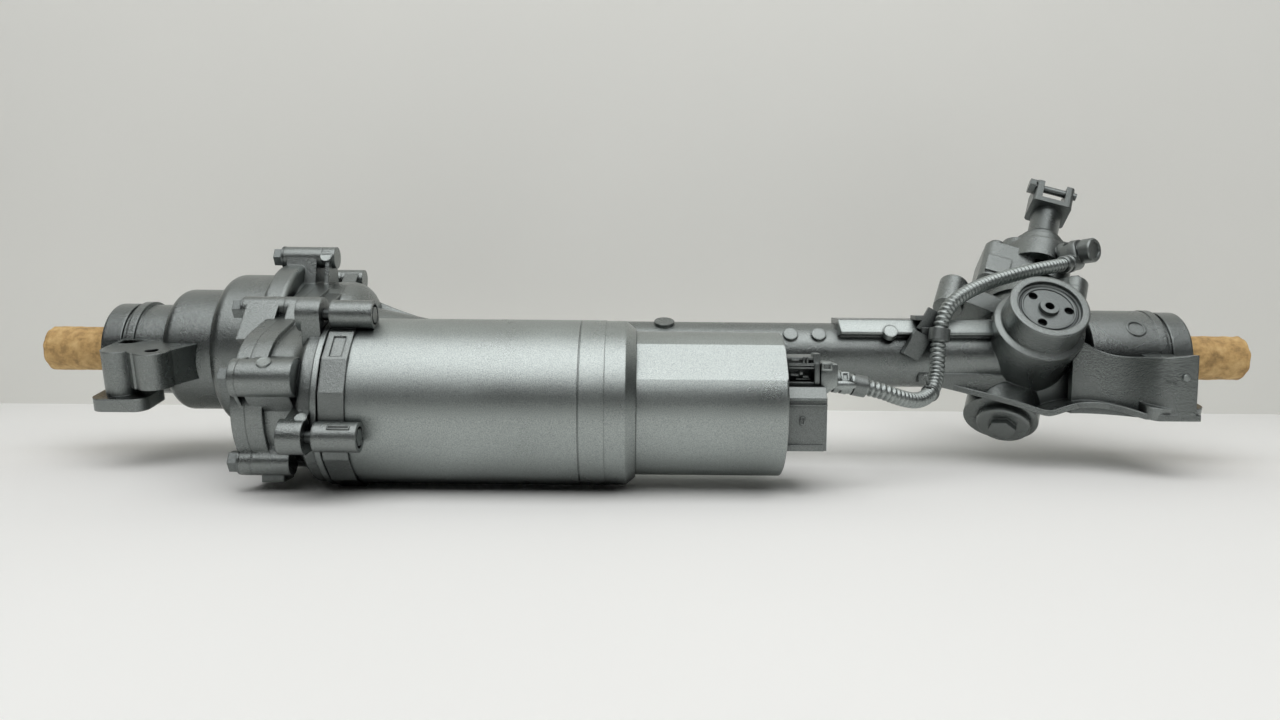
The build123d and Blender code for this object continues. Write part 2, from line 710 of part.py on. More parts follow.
def torsion_bar():
    """The thin bar that joins the pinion to the input shaft and twists between them."""
    waist = torsion_bar_radius - 0.8
    return turned(pinion_line, [
        (10, 0), (10, torsion_bar_radius), (28, torsion_bar_radius), (32, waist), (118, waist),
        (122, torsion_bar_radius), (140, torsion_bar_radius), (140, 0)])


def input_shaft():
    """The hollow shaft between the torque sensor and the steering column."""
    shaft = rod(pinion_line, input_shaft_radius, sensor_gap_height + running_gap, fork_base + 10)
    shaft -= rod(pinion_line, torsion_bar_radius, sensor_gap_height, 140)
    return shaft


def coupling_fork():
    """The clamp yoke on the input shaft: a neck and two ears with a pinch bolt across them."""
    neck = [(fork_base, 0), (fork_base, 14), (fork_base + 7, 11.5), (fork_hub_top, 11.5), (fork_hub_top, 0)]
    fork = turned(pinion_line, neck, {1: 1.5})
    wide, slot = fork_half_width, fork_slot_half_width
    front, back = fork_ear_front, fork_ear_back
    outline = [(back, -wide), (front, -wide), (front, wide), (back, wide)]
    ears = prism(pinion_line, outline, fork_hub_top - 5, fork_top)
    ears = fillet(ears.edges().filter_by(Axis(pinion_line.origin, pinion_line.z_dir)), 3)
    gap = [(back - 1, -slot), (front + 1, -slot), (front + 1, slot), (back - 1, slot)]
    fork += ears - prism(pinion_line, gap, fork_hub_top, fork_top + 1)
    fork -= rod(pinion_line, input_shaft_radius, fork_base - 1, fork_base + 10)
    fork -= rod(pinion_line, fork_bore_radius, fork_base + 12, fork_top + 1)
    return fork - rod(pinch_line(), pinch_bolt_radius + sliding_gap, -20, 20)


def pinch_line():
    """The pinch bolt's axis, across the ears and beside the shaft that they clamp."""
    middle = pinion_line.from_local_coords(Vector(pinch_bolt_offset, 0, fork_top - 6))
    return Plane(middle, x_dir=pinion_line.z_dir, z_dir=-pinion_line.y_dir)


def pinch_bolt():
    """The bolt across the fork's ears, with its head on the left."""
    bolt = rod(pinch_line(), pinch_bolt_radius, -fork_half_width - 2, fork_half_width + 1)
    return bolt + extrude(pinch_line().offset(fork_half_width) * RegularPolygon(6, 6), amount=5)


def dust_disc():
    """The disc on the input shaft that covers the shaft seal."""
    return turned(pinion_line, [
        (fork_base - 6, input_shaft_radius), (fork_base - 6, dust_disc_radius - 2),
        (fork_base - 2, dust_disc_radius), (fork_base, dust_disc_radius), (fork_base, input_shaft_radius)])


def yoke():
    """The piston that holds the rack against the pinion, hollowed to the bar's curve."""
    body = rod(yoke_line, yoke_radius, 4, yoke_seat_top - 3)
    body -= rod(rack_line, rack_radius + liner_thickness, cross_x - 40, cross_x + 40)
    return body - rod(yoke_line, 9, yoke_seat_top - 15, yoke_seat_top)


def yoke_liner():
    """The low-friction strip between the yoke and the bar."""
    strip = rod(yoke_line, yoke_radius - 0.4, 4, rack_radius + 10)
    outer = rack_radius + liner_thickness
    strip &= ring(rack_line, outer, rack_radius + shaft_fit, cross_x - 40, cross_x + 40)
    return strip


def yoke_spring():
    """The coil spring between the yoke and its plug, as a plain sleeve of its outer size."""
    return ring(yoke_line, 8.6, 6.0, yoke_seat_top - 15, yoke_seat_top)


def yoke_plug():
    """The threaded plug that closes the can: a rim, a hub and three key holes."""
    top = yoke_seat_top + yoke_plug_thickness
    plug = turned(yoke_line, [
        (yoke_seat_top, 0), (yoke_seat_top, yoke_plug_radius), (top, yoke_plug_radius),
        (top, yoke_plug_radius - 1.4), (top - 1.2, yoke_plug_radius - 2.2), (top - 1.2, yoke_hub_radius),
        (top + 1.6, yoke_hub_radius - 0.4), (top + 1.6, yoke_key_radius),
        (top - 4, yoke_key_radius), (top - 4, 0)])
    for angle in yoke_key_angles:
        x, y = polar(yoke_key_circle, angle)
        plug -= rod(spot_plane(yoke_line, x, y), yoke_key_radius, top - 5, top + 1)
    return plug


def bearing(plane, outer, inner, low, high):
    """A ball bearing as one ring with its two side grooves."""
    body = ring(plane, outer, inner, low, high)
    middle = (outer + inner) / 2
    band = (outer - inner) * 0.16
    for start, end in ((low - 1, low + 1.2), (high - 1.2, high + 1)):
        body -= ring(plane, middle + band, middle - band, start, end)
    return body


def shaft_bearings():
    """The ball bearings of the pinion and of the motor shaft, by node."""
    low_inner = pinion_shaft_radius - 1 + shaft_fit
    high_inner = pinion_shaft_radius + 0.5 + shaft_fit
    rotor_inner = rotor_shaft_radius + shaft_fit
    return {
        "pinion_bearing_low": bearing(pinion_line, lower_bearing_radius, low_inner, -38, -26),
        "pinion_bearing_high": bearing(pinion_line, upper_bearing_radius, high_inner, 20, 33),
        "motor_bearing_front": bearing(motor_line, motor_bearing_radius, rotor_inner, -180, -171),
        "motor_bearing_rear": bearing(motor_line, motor_bearing_radius - 3, rotor_inner, -50, -42),
    }


def rack_bush():
    """The plastic guide ring for the bar in its tube."""
    return ring(rack_line, tube_bore_radius, rack_radius + sliding_gap, bush_start, bush_start + bush_length)


def pinion_cap():
    """The plug that closes the lower bearing's seat: a round cup with a hexagon under it."""
    low = tower_low_end
    cap = turned(pinion_line, [
        (low - 5, 0), (low - 5, pinion_cap_radius), (low, pinion_cap_radius), (low, lower_bearing_radius),
        (low + 5, lower_bearing_radius), (low + 5, 0)], {1: 2})
    return cap + extrude(pinion_line.offset(low - 9) * RegularPolygon(pinion_cap_hex_radius, 6), amount=5)


# ---------------------------------------------------------------- torque sensor on the tower


def sensor_housing():
    """The casting on the tower: flange with lugs, side block, neck and cable socket seat."""
    flange_top = tower_joint + sensor_flange
    body = rod(pinion_line, tower_drum_radius + 2, tower_joint, flange_top)
    for x, y, _ in sensor_lug_places:
        body += rod(spot_plane(pinion_line, x, y), sensor_lug_radius, tower_joint, flange_top)
        web = web_points(x, y, sensor_lug_radius, 18)
        body += prism(pinion_line, web, tower_joint, flange_top)
    case = Pos(-4, -9) * RectangleRounded(42, 66, 7)
    body += extrude(pinion_line.offset(tower_joint + sensor_flange) * case, amount=36)
    body += extrude(pinion_line.offset(74) * Pos(17.4, -30) * Rectangle(1.8, 18), amount=17)
    body += rod(spot_plane(pinion_line, 4, -33), 6.5, 100, 116)
    body += rod(spot_plane(pinion_line, -2, -17), 12, 100, 126)
    body += rod(socket_line(), tower_socket_radius - 1, 0, sensor_neck_radius + 1)
    body += turned(pinion_line, [
        (100, 0), (100, sensor_neck_radius), (sensor_case_top - 8, sensor_neck_radius),
        (sensor_case_top - 8, sensor_neck_radius - 3.5), (sensor_case_top, sensor_neck_radius - 3.5),
        (sensor_case_top, 0)], {2: 2})
    body -= turned(pinion_line, [
        (tower_joint - 1, 0), (tower_joint - 1, upper_bearing_radius),
        (sensor_case_top - 9, upper_bearing_radius), (sensor_case_top - 9, shaft_seal_radius),
        (sensor_case_top + 1, shaft_seal_radius), (sensor_case_top + 1, 0)])
    for x, y, _ in sensor_lug_places:
        body -= rod(spot_plane(pinion_line, x, y), sensor_bolt_radius + sliding_gap, tower_joint - 1, 120)
    return body


def sensor_bolts():
    """The bolts through the sensor housing's lugs into the tower."""
    shape = None
    for x, y, low in sensor_lug_places:
        plane = spot_plane(pinion_line, x, y).offset(tower_joint + sensor_flange)
        bolt = hex_bolt(plane, sensor_bolt_radius, 5.2, 5, tower_joint + sensor_flange - low - 6)
        shape = bolt if shape is None else shape + bolt
    return shape


# ---------------------------------------------------------------- ball nut and belt drive


def ball_nut():
    """The nut on the screw end of the bar, with the shoulder that its bearing seats on."""
    return turned(rack_line, [
        (nut_start, rack_radius + running_gap), (nut_start, nut_radius - 2),
        (bearing_start - 5, nut_radius - 2), (bearing_start - 5, bearing_inner_radius - 2),
        (bearing_start, bearing_inner_radius - 2),
        (bearing_start, nut_radius), (belt_end, nut_radius), (belt_end, rack_radius + running_gap)], {1: 1})


def bearing_track(side):
    """Half of the nut bearing: a ring with the groove that its balls run in."""
    line = (bearing_outer_radius + nut_radius) / 2
    middle = bearing_start + bearing_width / 2
    half_gap = 2.2
    inner, outer = (nut_radius, line - half_gap) if side < 0 else (line + half_gap, bearing_outer_radius)
    body = ring(rack_line, outer, inner, bearing_start, bearing_start + bearing_width)
    groove = Pos(middle, 0, 0) * Rot(0, 90, 0) * Torus(line, bearing_ball_radius + sliding_gap / 2)
    return body - groove


def nut_bearing_balls():
    """The balls between the two rings."""
    line = (bearing_outer_radius + nut_radius) / 2
    middle = bearing_start + bearing_width / 2
    shape = None
    for index in range(bearing_ball_count):
        y, z = polar(line, index * 360 / bearing_ball_count)
        ball = Pos(middle, y, z) * Sphere(bearing_ball_radius)
        shape = ball if shape is None else shape + ball
    return shape


def pulley(plane, radius, teeth, bore, start, end, flanges):
    """A toothed belt pulley, with side flanges where the belt needs guiding."""
    points = []
    for tooth in range(teeth):
        for share, height in ((0.0, 0), (0.14, -belt_tooth_depth), (0.42, -belt_tooth_depth), (0.56, 0)):
            points.append(polar(radius + height, (tooth + share) * 360 / teeth))
    body = prism(plane, points, start, end)
    if flanges:
        for low in (start - pulley_flange_width, end):
            body += rod(plane, radius + pulley_flange_height, low, low + pulley_flange_width)
    return body - rod(plane, bore, start - 5, end + 5)


def large_pulley():
    """The pulley on the ball nut."""
    return pulley(rack_line, large_pulley_radius, large_pulley_teeth, nut_radius, belt_start, belt_end, False)


def small_pulley():
    """The pulley on the motor's shaft."""
    return pulley(motor_line, small_pulley_radius, small_pulley_teeth, rotor_shaft_radius,
                  belt_start, belt_end, True)


def drive_belt():
    """The endless belt round both pulleys."""
    inside = [large_pulley_radius + belt_gap, small_pulley_radius + belt_gap]
    outer = strap(inside[0] + belt_thickness, inside[1] + belt_thickness, belt_start + 0.4, belt_end - 0.4)
    return outer - strap(inside[0], inside[1], belt_start - 1, belt_end + 1)


# ---------------------------------------------------------------- motor and control unit


def motor_flange():
    """The motor's front shield: faceted band, fixing lugs, pilot and bearing seat."""
    start, end = motor_flange_start, motor_tube_start
    facets = Rot(0, 0, 11.25) * RegularPolygon(motor_radius + motor_band_rise, 16, major_radius=False)
    body = extrude(motor_line.offset(start) * facets, amount=end - start)
    body += rod(motor_line, pilot_radius - sliding_gap, belt_case_end - pilot_depth, start)
    body -= rod(motor_line, motor_radius - motor_wall, start + motor_shield_thickness, end + 1)
    body += rod(motor_line, motor_bearing_radius + cast_wall, start, end)
    body -= rod(motor_line, pilot_radius - cast_wall, belt_case_end - pilot_depth - 1, belt_case_end)
    for line in motor_lug_lines():
        top = end + motor_lug_rise
        body += rod(line, motor_lug_radius, start, top) - rod(motor_line, motor_radius, start + 1, top + 1)
        body -= rod(line, motor_bolt_radius + sliding_gap, start - 1, top + 1)
        body -= rod(line, motor_bolt_sink_radius, top - motor_bolt_head_height, top + 1)
    body -= rod(motor_line, motor_bearing_radius, start + 4, end + 1)
    body -= rod(motor_line, rotor_shaft_radius + 2, belt_case_end - pilot_depth, end)
    way = Vector(0, -cos(radians(44)), sin(radians(44)))
    middle = Vector((start + end) / 2, motor_y, motor_z) + way * (motor_radius + motor_band_rise - 1)
    recess = Plane(middle, x_dir=(1, 0, 0), z_dir=way)
    body -= extrude(recess * Rectangle(7, 15), amount=5)
    return body


def motor_tube():
    """The motor's drawn tube, stepped down to the control unit."""
    inner = motor_radius - motor_wall
    step_end = motor_step_x + motor_step_length
    return turned(motor_line, [
        (motor_tube_start, inner), (motor_tube_start, motor_radius), (-40, motor_radius),
        (-40, motor_radius - 0.4), (-39.2, motor_radius - 0.4), (-39.2, motor_radius),
        (control_seam_x, motor_radius), (control_seam_x, motor_radius - 0.3),
        (motor_step_x, motor_radius - 0.3), (step_end, control_radius + 1.2),
        (step_end, control_radius - control_wall),
        (motor_step_x - 2, control_radius - control_wall), (motor_step_x - 2, inner)])


def control_housing():
    """The control unit's can, with a flat along its upper front and connector windows in its end."""
    start = motor_step_x + motor_step_length
    can = turned(motor_line, [
        (start, control_radius - control_wall), (start, control_radius), (control_end_x, control_radius),
        (control_end_x, 0), (control_end_x - control_wall, 0),
        (control_end_x - control_wall, control_radius - control_wall)], {2: 1.2})
    way = Vector(0, -cos(radians(42)), sin(radians(42)))
    flat = Plane(Vector((start + control_end_x) / 2, motor_y, motor_z) + way * (control_radius - 1.9),
                 x_dir=(1, 0, 0), z_dir=way)
    return can - extrude(flat * Rectangle(control_end_x - start + 2, 60), amount=10)


def motor_seal():
    """The ring between the belt case and the motor's flange."""
    return ring(motor_line, motor_radius - 5, pilot_radius, belt_case_end, motor_flange_start)


def motor_bolts():
    """The bolts through the motor's lugs into the belt case."""
    shape = None
    for line in motor_lug_lines():
        seat = motor_tube_start + motor_lug_rise - motor_bolt_head_height
        bolt = rod(line, motor_bolt_radius, belt_case_end - 10, seat)
        hexagon = RegularPolygon(motor_bolt_head_radius, 6)
        bolt += extrude(line.offset(seat) * hexagon, amount=motor_bolt_head_height)
        shape = bolt if shape is None else shape + bolt
    return shape


def stator():
    """The wound core fixed in the motor's tube."""
    core = ring(motor_line, motor_radius - motor_wall, stator_inner_radius, -146, -66)
    core += ring(motor_line, motor_radius - motor_wall - 5, stator_inner_radius + 3, -156, -56)
    return core


def rear_shield():
    """The plate behind the motor that holds its rear bearing."""
    body = rod(motor_line, motor_radius - motor_wall, -50, -38)
    body -= rod(motor_line, motor_bearing_radius - 3, -51, -42)
    return body - rod(motor_line, rotor_shaft_radius + 1, -43, -37)


def heat_sink():
    """The block that the control board stands on, between the motor and the control unit."""
    body = rod(motor_line, control_radius - control_wall, motor_step_x - 2, 3)
    return body - rod(motor_line, 14, motor_step_x - 3, -6)


def control_board():
    """The control unit's circuit board."""
    return rod(motor_line, control_radius - control_wall - 3, 3, 4.8)


def capacitors():
    """The round capacitors on the board."""
    shape = None
    for angle in (30, 110, 250):
        x, y = polar(24, angle)
        can = rod(spot_plane(motor_line, x, y), 8, 4.8, 36)
        shape = can if shape is None else shape + can
    return shape


def rotor_shaft():
    """The motor's shaft."""
    return rod(motor_line, rotor_shaft_radius, belt_start - 2, -34)


def rotor():
    """The rotor's magnet core."""
    return ring(motor_line, rotor_radius, rotor_shaft_radius, -145, -67)


# ---------------------------------------------------------------- connectors, cable and clips


def block(low, size):
    """A box from its low corner."""
    return Pos(*low) * Box(*size, align=(Align.MIN, Align.MIN, Align.MIN))


def power_connector():
    """The shroud of the power socket, open to the right."""
    low, top = power_socket_bottom, power_socket_top
    wide = power_socket_width
    body = block((control_end_x, socket_y - wide / 2 - 3, low), (power_socket_length, wide, top - low))
    body = chamfer(body.edges().filter_by(Axis.X).sort_by(Axis.Z)[-2:], 6)
    wall = socket_wall
    body += block((control_end_x, socket_y - wide / 2 - 4.5, low), (power_socket_length - 2, wide + 3, 3.5))
    hollow = (power_socket_length, wide - 2 * wall, top - low - 13)
    return body - block((control_end_x + 5, socket_y - wide / 2 - 3 + wall, low + wall), hollow)


def power_pins():
    """The two blades inside the power socket."""
    shape = None
    for y in (socket_y - 13, socket_y + 7):
        blade = block((control_end_x + 5, y - 4, power_socket_bottom + 14), (14, 8, 2.4))
        shape = blade if shape is None else shape + blade
    return shape


def sensor_socket():
    """The shroud of the cable's socket on the control unit, with an open side frame."""
    wide, low, high = sensor_socket_width, power_socket_top, sensor_socket_top
    body = block((control_end_x, socket_y - wide / 2, low), (sensor_socket_length, wide, high - low))
    rim = sensor_socket_length - 5
    body += block((control_end_x + rim, socket_y - wide / 2 - 1.5, low), (5, wide + 3, high - low + 1.5))
    body -= block((control_end_x + 9, socket_y - wide, low + 5), (9, wide * 2, high - low - 10))
    corner = (control_end_x + 6, socket_y - wide / 2 + 2.5, low + 2.5)
    return body - block(corner, (30, wide - 5, high - low - 5))


def control_plug():
    """The cable's plug in the control unit's socket, with its collar."""
    wide, low, high = sensor_socket_width, power_socket_top, sensor_socket_top
    face = control_end_x + sensor_socket_length
    tongue = block((control_end_x + 8, socket_y - wide / 2 + 2.5, low + 2.5), (30, wide - 5, high - low - 5))
    body = block((face, socket_y - wide / 2 - 0.5, -20.8), (10, wide + 1, 21.4))
    return tongue + body + rod(conduit_start_plane(), conduit_radius + 2, -12, 0)


def conduit_start_plane():
    """Across the conduit where it leaves the control unit's plug."""
    first, second = Vector(*cable_route[0]), Vector(*cable_route[1])
    return Plane(first, x_dir=(0, 1, 0), z_dir=(second - first).normalized())


def cable_path():
    """Straight runs joined by arcs as large as the runs allow."""
    points = [Vector(*p) for p in cable_route]
    radii = []
    for before, here, after in zip(points, points[1:], points[2:]):
        turn = radians((here - before).get_angle(after - here))
        radii.append(0.45 * min((here - before).length, (after - here).length) / tan(turn / 2))
    return FilletPolyline(*points, radius=radii), radii


def cable_conduit():
    """The corrugated conduit, as a plain tube of its outer size."""
    path, radii = cable_path()
    print("conduit arc radii", [round(radius, 1) for radius in radii], "length", round(path.length, 1))
    return sweep(conduit_start_plane() * Circle(conduit_radius), path=path)


def cable_end_plane():
    """Across the conduit where it enters the torque sensor's plug."""
    last, before = Vector(*cable_route[-1]), Vector(*cable_route[-2])
    return Plane(last, x_dir=(0, 1, 0), z_dir=(last - before).normalized())


def saddle_clip():
    """The strap that holds the conduit to its plug."""
    plane = conduit_start_plane()
    return ring(plane, conduit_radius + 1.6, conduit_radius, 1, 9)


def tube_clip():
    """The clip on the tube's ledge that carries the conduit."""
    front = -tube_radius - 0.5
    low_plate = Pos(conduit_clip_x + 6.5, front - 3.5, 8.7) * Rot(0, clip_lean, 0) * Box(12, 7, 18)
    high_plate = Pos(conduit_clip_x + 16.5, front - 1.5, 25) * Rot(0, clip_lean, 0) * Box(12, 3, 16)
    body = low_plate + high_plate + block((conduit_clip_x + 6, front - 3, ledge_top), (14, 13, 3))
    here, there, beyond = (Vector(*cable_route[index]) for index in (6, 7, 8))
    for start, end, reach in ((there, beyond, 20), (here, there, 24)):
        line = Plane(start, x_dir=(0, 1, 0), z_dir=(end - start).normalized())
        body -= rod(line, conduit_radius + 0.5, -8, reach)
    plane = Plane((here + there) / 2, x_dir=(0, 1, 0), z_dir=(there - here).normalized())
    band = ring(plane, conduit_radius + 2, conduit_radius + 0.4, -4, 4)
    arm = block((conduit_clip_x + 10, front - 5, 13), (14, 4, 8)) - rod(plane, conduit_radius + 1, -20, 20)
    return body + band + arm


def socket_line():
    """The axis of the torque sensor's socket, out of the neck of its housing."""
    way = pinion_line.x_dir * cos(radians(plug_turn)) + pinion_line.y_dir * sin(radians(plug_turn))
    start = pinion_line.from_local_coords(Vector(0, 0, tower_plug_height))
    return Plane(start, x_dir=pinion_line.z_dir, z_dir=way)


def tower_socket():
    """The round socket on the neck of the torque sensor's housing."""
    start = sensor_neck_radius + 1
    return rod(socket_line(), tower_socket_radius, start, start + 3)


def tower_plug():
    """The cable's plug on the torque sensor, with the boot that the conduit enters."""
    start = sensor_neck_radius + 4
    shape = RectangleRounded(tower_plug_length, tower_plug_width, 3)
    body = extrude(socket_line().offset(start) * shape, amount=tower_plug_depth)
    boot = rod(cable_end_plane(), conduit_radius + 1.6, 0, 18)
    return body + (boot - rod(pinion_line, sensor_neck_radius + 4, 60, 160)) - tower_socket()


def input_collar():
    """The magnet ring of the torque sensor, on the input shaft."""
    start = sensor_gap_height + 14
    return ring(pinion_line, input_shaft_radius + 3.5, input_shaft_radius, start, start + 14)


def pinion_collar():
    """The pole ring of the torque sensor, on the pinion."""
    return ring(pinion_line, 14.5, 11, sensor_gap_height - 12, sensor_gap_height)


def sensor_board():
    """The fixed ring that reads the torque sensor."""
    return ring(pinion_line, upper_bearing_radius, 14.2, sensor_gap_height + 14, sensor_gap_height + 26)


def shaft_seal():
    """The lip seal round the input shaft."""
    inner = input_shaft_radius + shaft_fit
    return ring(pinion_line, shaft_seal_radius, inner, sensor_case_top - 9, sensor_case_top - 2)


def joint_bolts():
    """The bolts that hold the two castings together."""
    shape = None
    for y, z, head, tail, _ in lug_places():
        plane = Plane((head, y, z), x_dir=(0, 1, 0), z_dir=(-1, 0, 0))
        bolt = hex_bolt(plane, bolt_radius, bolt_head_radius, bolt_head_height, tail - head - 5)
        shape = bolt if shape is None else shape + bolt
    return shape


def nut_ring(outer, inner):
    """A ring that locks one race of the nut bearing."""
    bearing_end = bearing_start + bearing_width
    return ring(rack_line, outer, inner, bearing_end, bearing_end + lock_ring_width)


def build():
    """Every node of the part, by name."""
    line = (bearing_outer_radius + nut_radius) / 2
    right, left = rack_shell(), gear_shell()
    return {
        "rack_housing": rack_housing(right), "right_bracket": right_bracket(right),
        "gear_housing": gear_housing(left), "left_bracket": left_bracket(left), "joint_bolts": joint_bolts(),
        "rack_bar": rack_bar(), "wrap_left": end_wrap(-1), "wrap_right": end_wrap(1), "bush": rack_bush(),
        "yoke": yoke(), "yoke_liner": yoke_liner(), "yoke_spring": yoke_spring(), "yoke_plug": yoke_plug(),
        "pinion": pinion(), "torsion_bar": torsion_bar(), "pinion_collar": pinion_collar(),
        "pinion_cap": pinion_cap(), "input_shaft": input_shaft(), "input_collar": input_collar(),
        "dust_disc": dust_disc(), "coupling_fork": coupling_fork(), "pinch_bolt": pinch_bolt(),
        "sensor_housing": sensor_housing(), "sensor_bolts": sensor_bolts(), "sensor_board": sensor_board(),
        "shaft_seal": shaft_seal(), "ball_nut": ball_nut(), "nut_bearing_inner": bearing_track(-1),
        "nut_bearing_outer": bearing_track(1), "nut_bearing_balls": nut_bearing_balls(),
        "bearing_lock_ring": nut_ring(bearing_outer_radius, line + 3),
        "nut_lock_ring": nut_ring(bearing_inner_radius, nut_radius),
        "large_pulley": large_pulley(), "small_pulley": small_pulley(), "drive_belt": drive_belt(),
        "rotor_shaft": rotor_shaft(), "rotor": rotor(), **shaft_bearings(),
        "motor_flange": motor_flange(), "motor_tube": motor_tube(), "motor_seal": motor_seal(),
        "motor_bolts": motor_bolts(), "stator": stator(), "rear_shield": rear_shield(),
        "heat_sink": heat_sink(), "control_board": control_board(), "capacitors": capacitors(),
        "control_housing": control_housing(), "power_connector": power_connector(),
        "power_pins": power_pins(),
        "sensor_socket": sensor_socket(), "control_plug": control_plug(), "cable_conduit": cable_conduit(),
        "saddle_clip": saddle_clip(), "tube_clip": tube_clip(), "tower_plug": tower_plug(),
        "tower_socket": tower_socket(),
    }


def placed(solids):
    """Every node moved so that the part stands on its underside, centred over the origin."""
    boxes = [solid.bounding_box() for solid in solids.values()]
    low = [min(values) for values in zip(*(tuple(box.min) for box in boxes))]
    high = [max(values) for values in zip(*(tuple(box.max) for box in boxes))]
    shift = Pos(-(low[0] + high[0]) / 2, -(low[1] + high[1]) / 2, -low[2])
    print("moved by", tuple(round(v, 4) for v in shift.position))
    return {name: shift * solid for name, solid in solids.items()}


if __name__ == "__main__":
    os.makedirs("parts", exist_ok=True)
    for name, solid in placed(build()).items():
        export_step(solid, f"parts/{name}.step")
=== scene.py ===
import math

import bmesh
import bpy
from mathutils import Matrix, Vector, noise


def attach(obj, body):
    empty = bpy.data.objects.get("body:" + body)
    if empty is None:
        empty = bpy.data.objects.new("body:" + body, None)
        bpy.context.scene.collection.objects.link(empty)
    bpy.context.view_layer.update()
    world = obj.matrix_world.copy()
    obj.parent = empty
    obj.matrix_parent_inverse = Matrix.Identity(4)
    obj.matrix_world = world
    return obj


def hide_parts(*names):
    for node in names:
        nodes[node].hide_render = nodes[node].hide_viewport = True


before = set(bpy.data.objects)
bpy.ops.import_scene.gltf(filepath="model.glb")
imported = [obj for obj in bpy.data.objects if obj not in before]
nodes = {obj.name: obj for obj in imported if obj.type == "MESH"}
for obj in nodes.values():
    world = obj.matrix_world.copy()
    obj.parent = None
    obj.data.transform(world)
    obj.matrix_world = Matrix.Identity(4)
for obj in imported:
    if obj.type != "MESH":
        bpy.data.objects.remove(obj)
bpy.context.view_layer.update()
print("frame loaded:", len(nodes), "nodes")

# The rack axis in this frame: the CAD model stands on the table, centred over the origin.
rackAxis = Vector((0.0, 0.0116709, 0.0743))


def place(x, y, z):
    # millimetres from the rack axis to metres in this frame
    return Vector((x, y, z)) / 1000 + rackAxis


# Camera, at eye level with the rack and close to it.
cameraPlace = {
    "spot": (-4.8, -674.3, 48.1),
    "lookDown": 4.5,
    "roll": 0.5,
    "lens": 26.72,
}
cameraData = bpy.data.cameras.new("camera")
cameraData.lens = cameraPlace["lens"]
cameraData.sensor_width = 36
cameraData.clip_start = 0.01
camera = bpy.data.objects.new("camera", cameraData)
bpy.context.scene.collection.objects.link(camera)
camera.matrix_world = (
    Matrix.Translation(place(*cameraPlace["spot"]))
    @ Matrix.Rotation(math.radians(90 - cameraPlace["lookDown"]), 4, "X")
    @ Matrix.Rotation(math.radians(cameraPlace["roll"]), 4, "Z")
)
bpy.context.scene.camera = camera
print("camera placed")


# Colours are written as sRGB hex and turned to linear here.
def colour(code):
    parts = [int(code[i:i + 2], 16) / 255 for i in (1, 3, 5)]
    return [p / 12.92 if p <= 0.04045 else ((p + 0.055) / 1.055) ** 2.4 for p in parts] + [1.0]


# Adds one shader node with its settings, its fixed inputs and what feeds it.
def addNode(tree, kind, settings=None, values=None, links=None):
    node = tree.nodes.new(kind)
    for name, value in (settings or {}).items():
        setattr(node, name, value)
    for name, value in (values or {}).items():
        node.inputs[name].default_value = value
    for name, socket in (links or {}).items():
        tree.links.new(socket, node.inputs[name])
    return node


def newMaterial(name):
    material = bpy.data.materials.new(name)
    material.use_nodes = True
    tree = material.node_tree
    tree.nodes.clear()
    output = addNode(tree, "ShaderNodeOutputMaterial")
    shader = addNode(tree, "ShaderNodeBsdfPrincipled")
    tree.links.new(shader.outputs["BSDF"], output.inputs["Surface"])
    where = addNode(tree, "ShaderNodeTexCoord").outputs["Object"]
    return material, tree, shader, where


def setRamp(ramp, stops):
    while len(ramp.color_ramp.elements) > 2:
        ramp.color_ramp.elements.remove(ramp.color_ramp.elements[-1])
    while len(ramp.color_ramp.elements) < len(stops):
        ramp.color_ramp.elements.new(0.5)
    for element, (position, value) in zip(ramp.color_ramp.elements, stops):
        element.position = position
        element.color = colour(value) if isinstance(value, str) else (value, value, value, 1)


# What every sprayed piece shares: clouds to the metre, sizes in millimetres and spreads of the paint.
spray = {
    "cloudScale": 22.0,
    "cloudShade": (0.88, 1.0),
    # how far and how dark the painted shade in corners and recesses goes
    "paintedShadeReach": 12.0,
    "paintedShadeTone": "#77797A",
    "roughnessSpread": (-0.04, 0.06),
    "flakeHeight": 0.3,
    "skinHeight": 0.6,
}
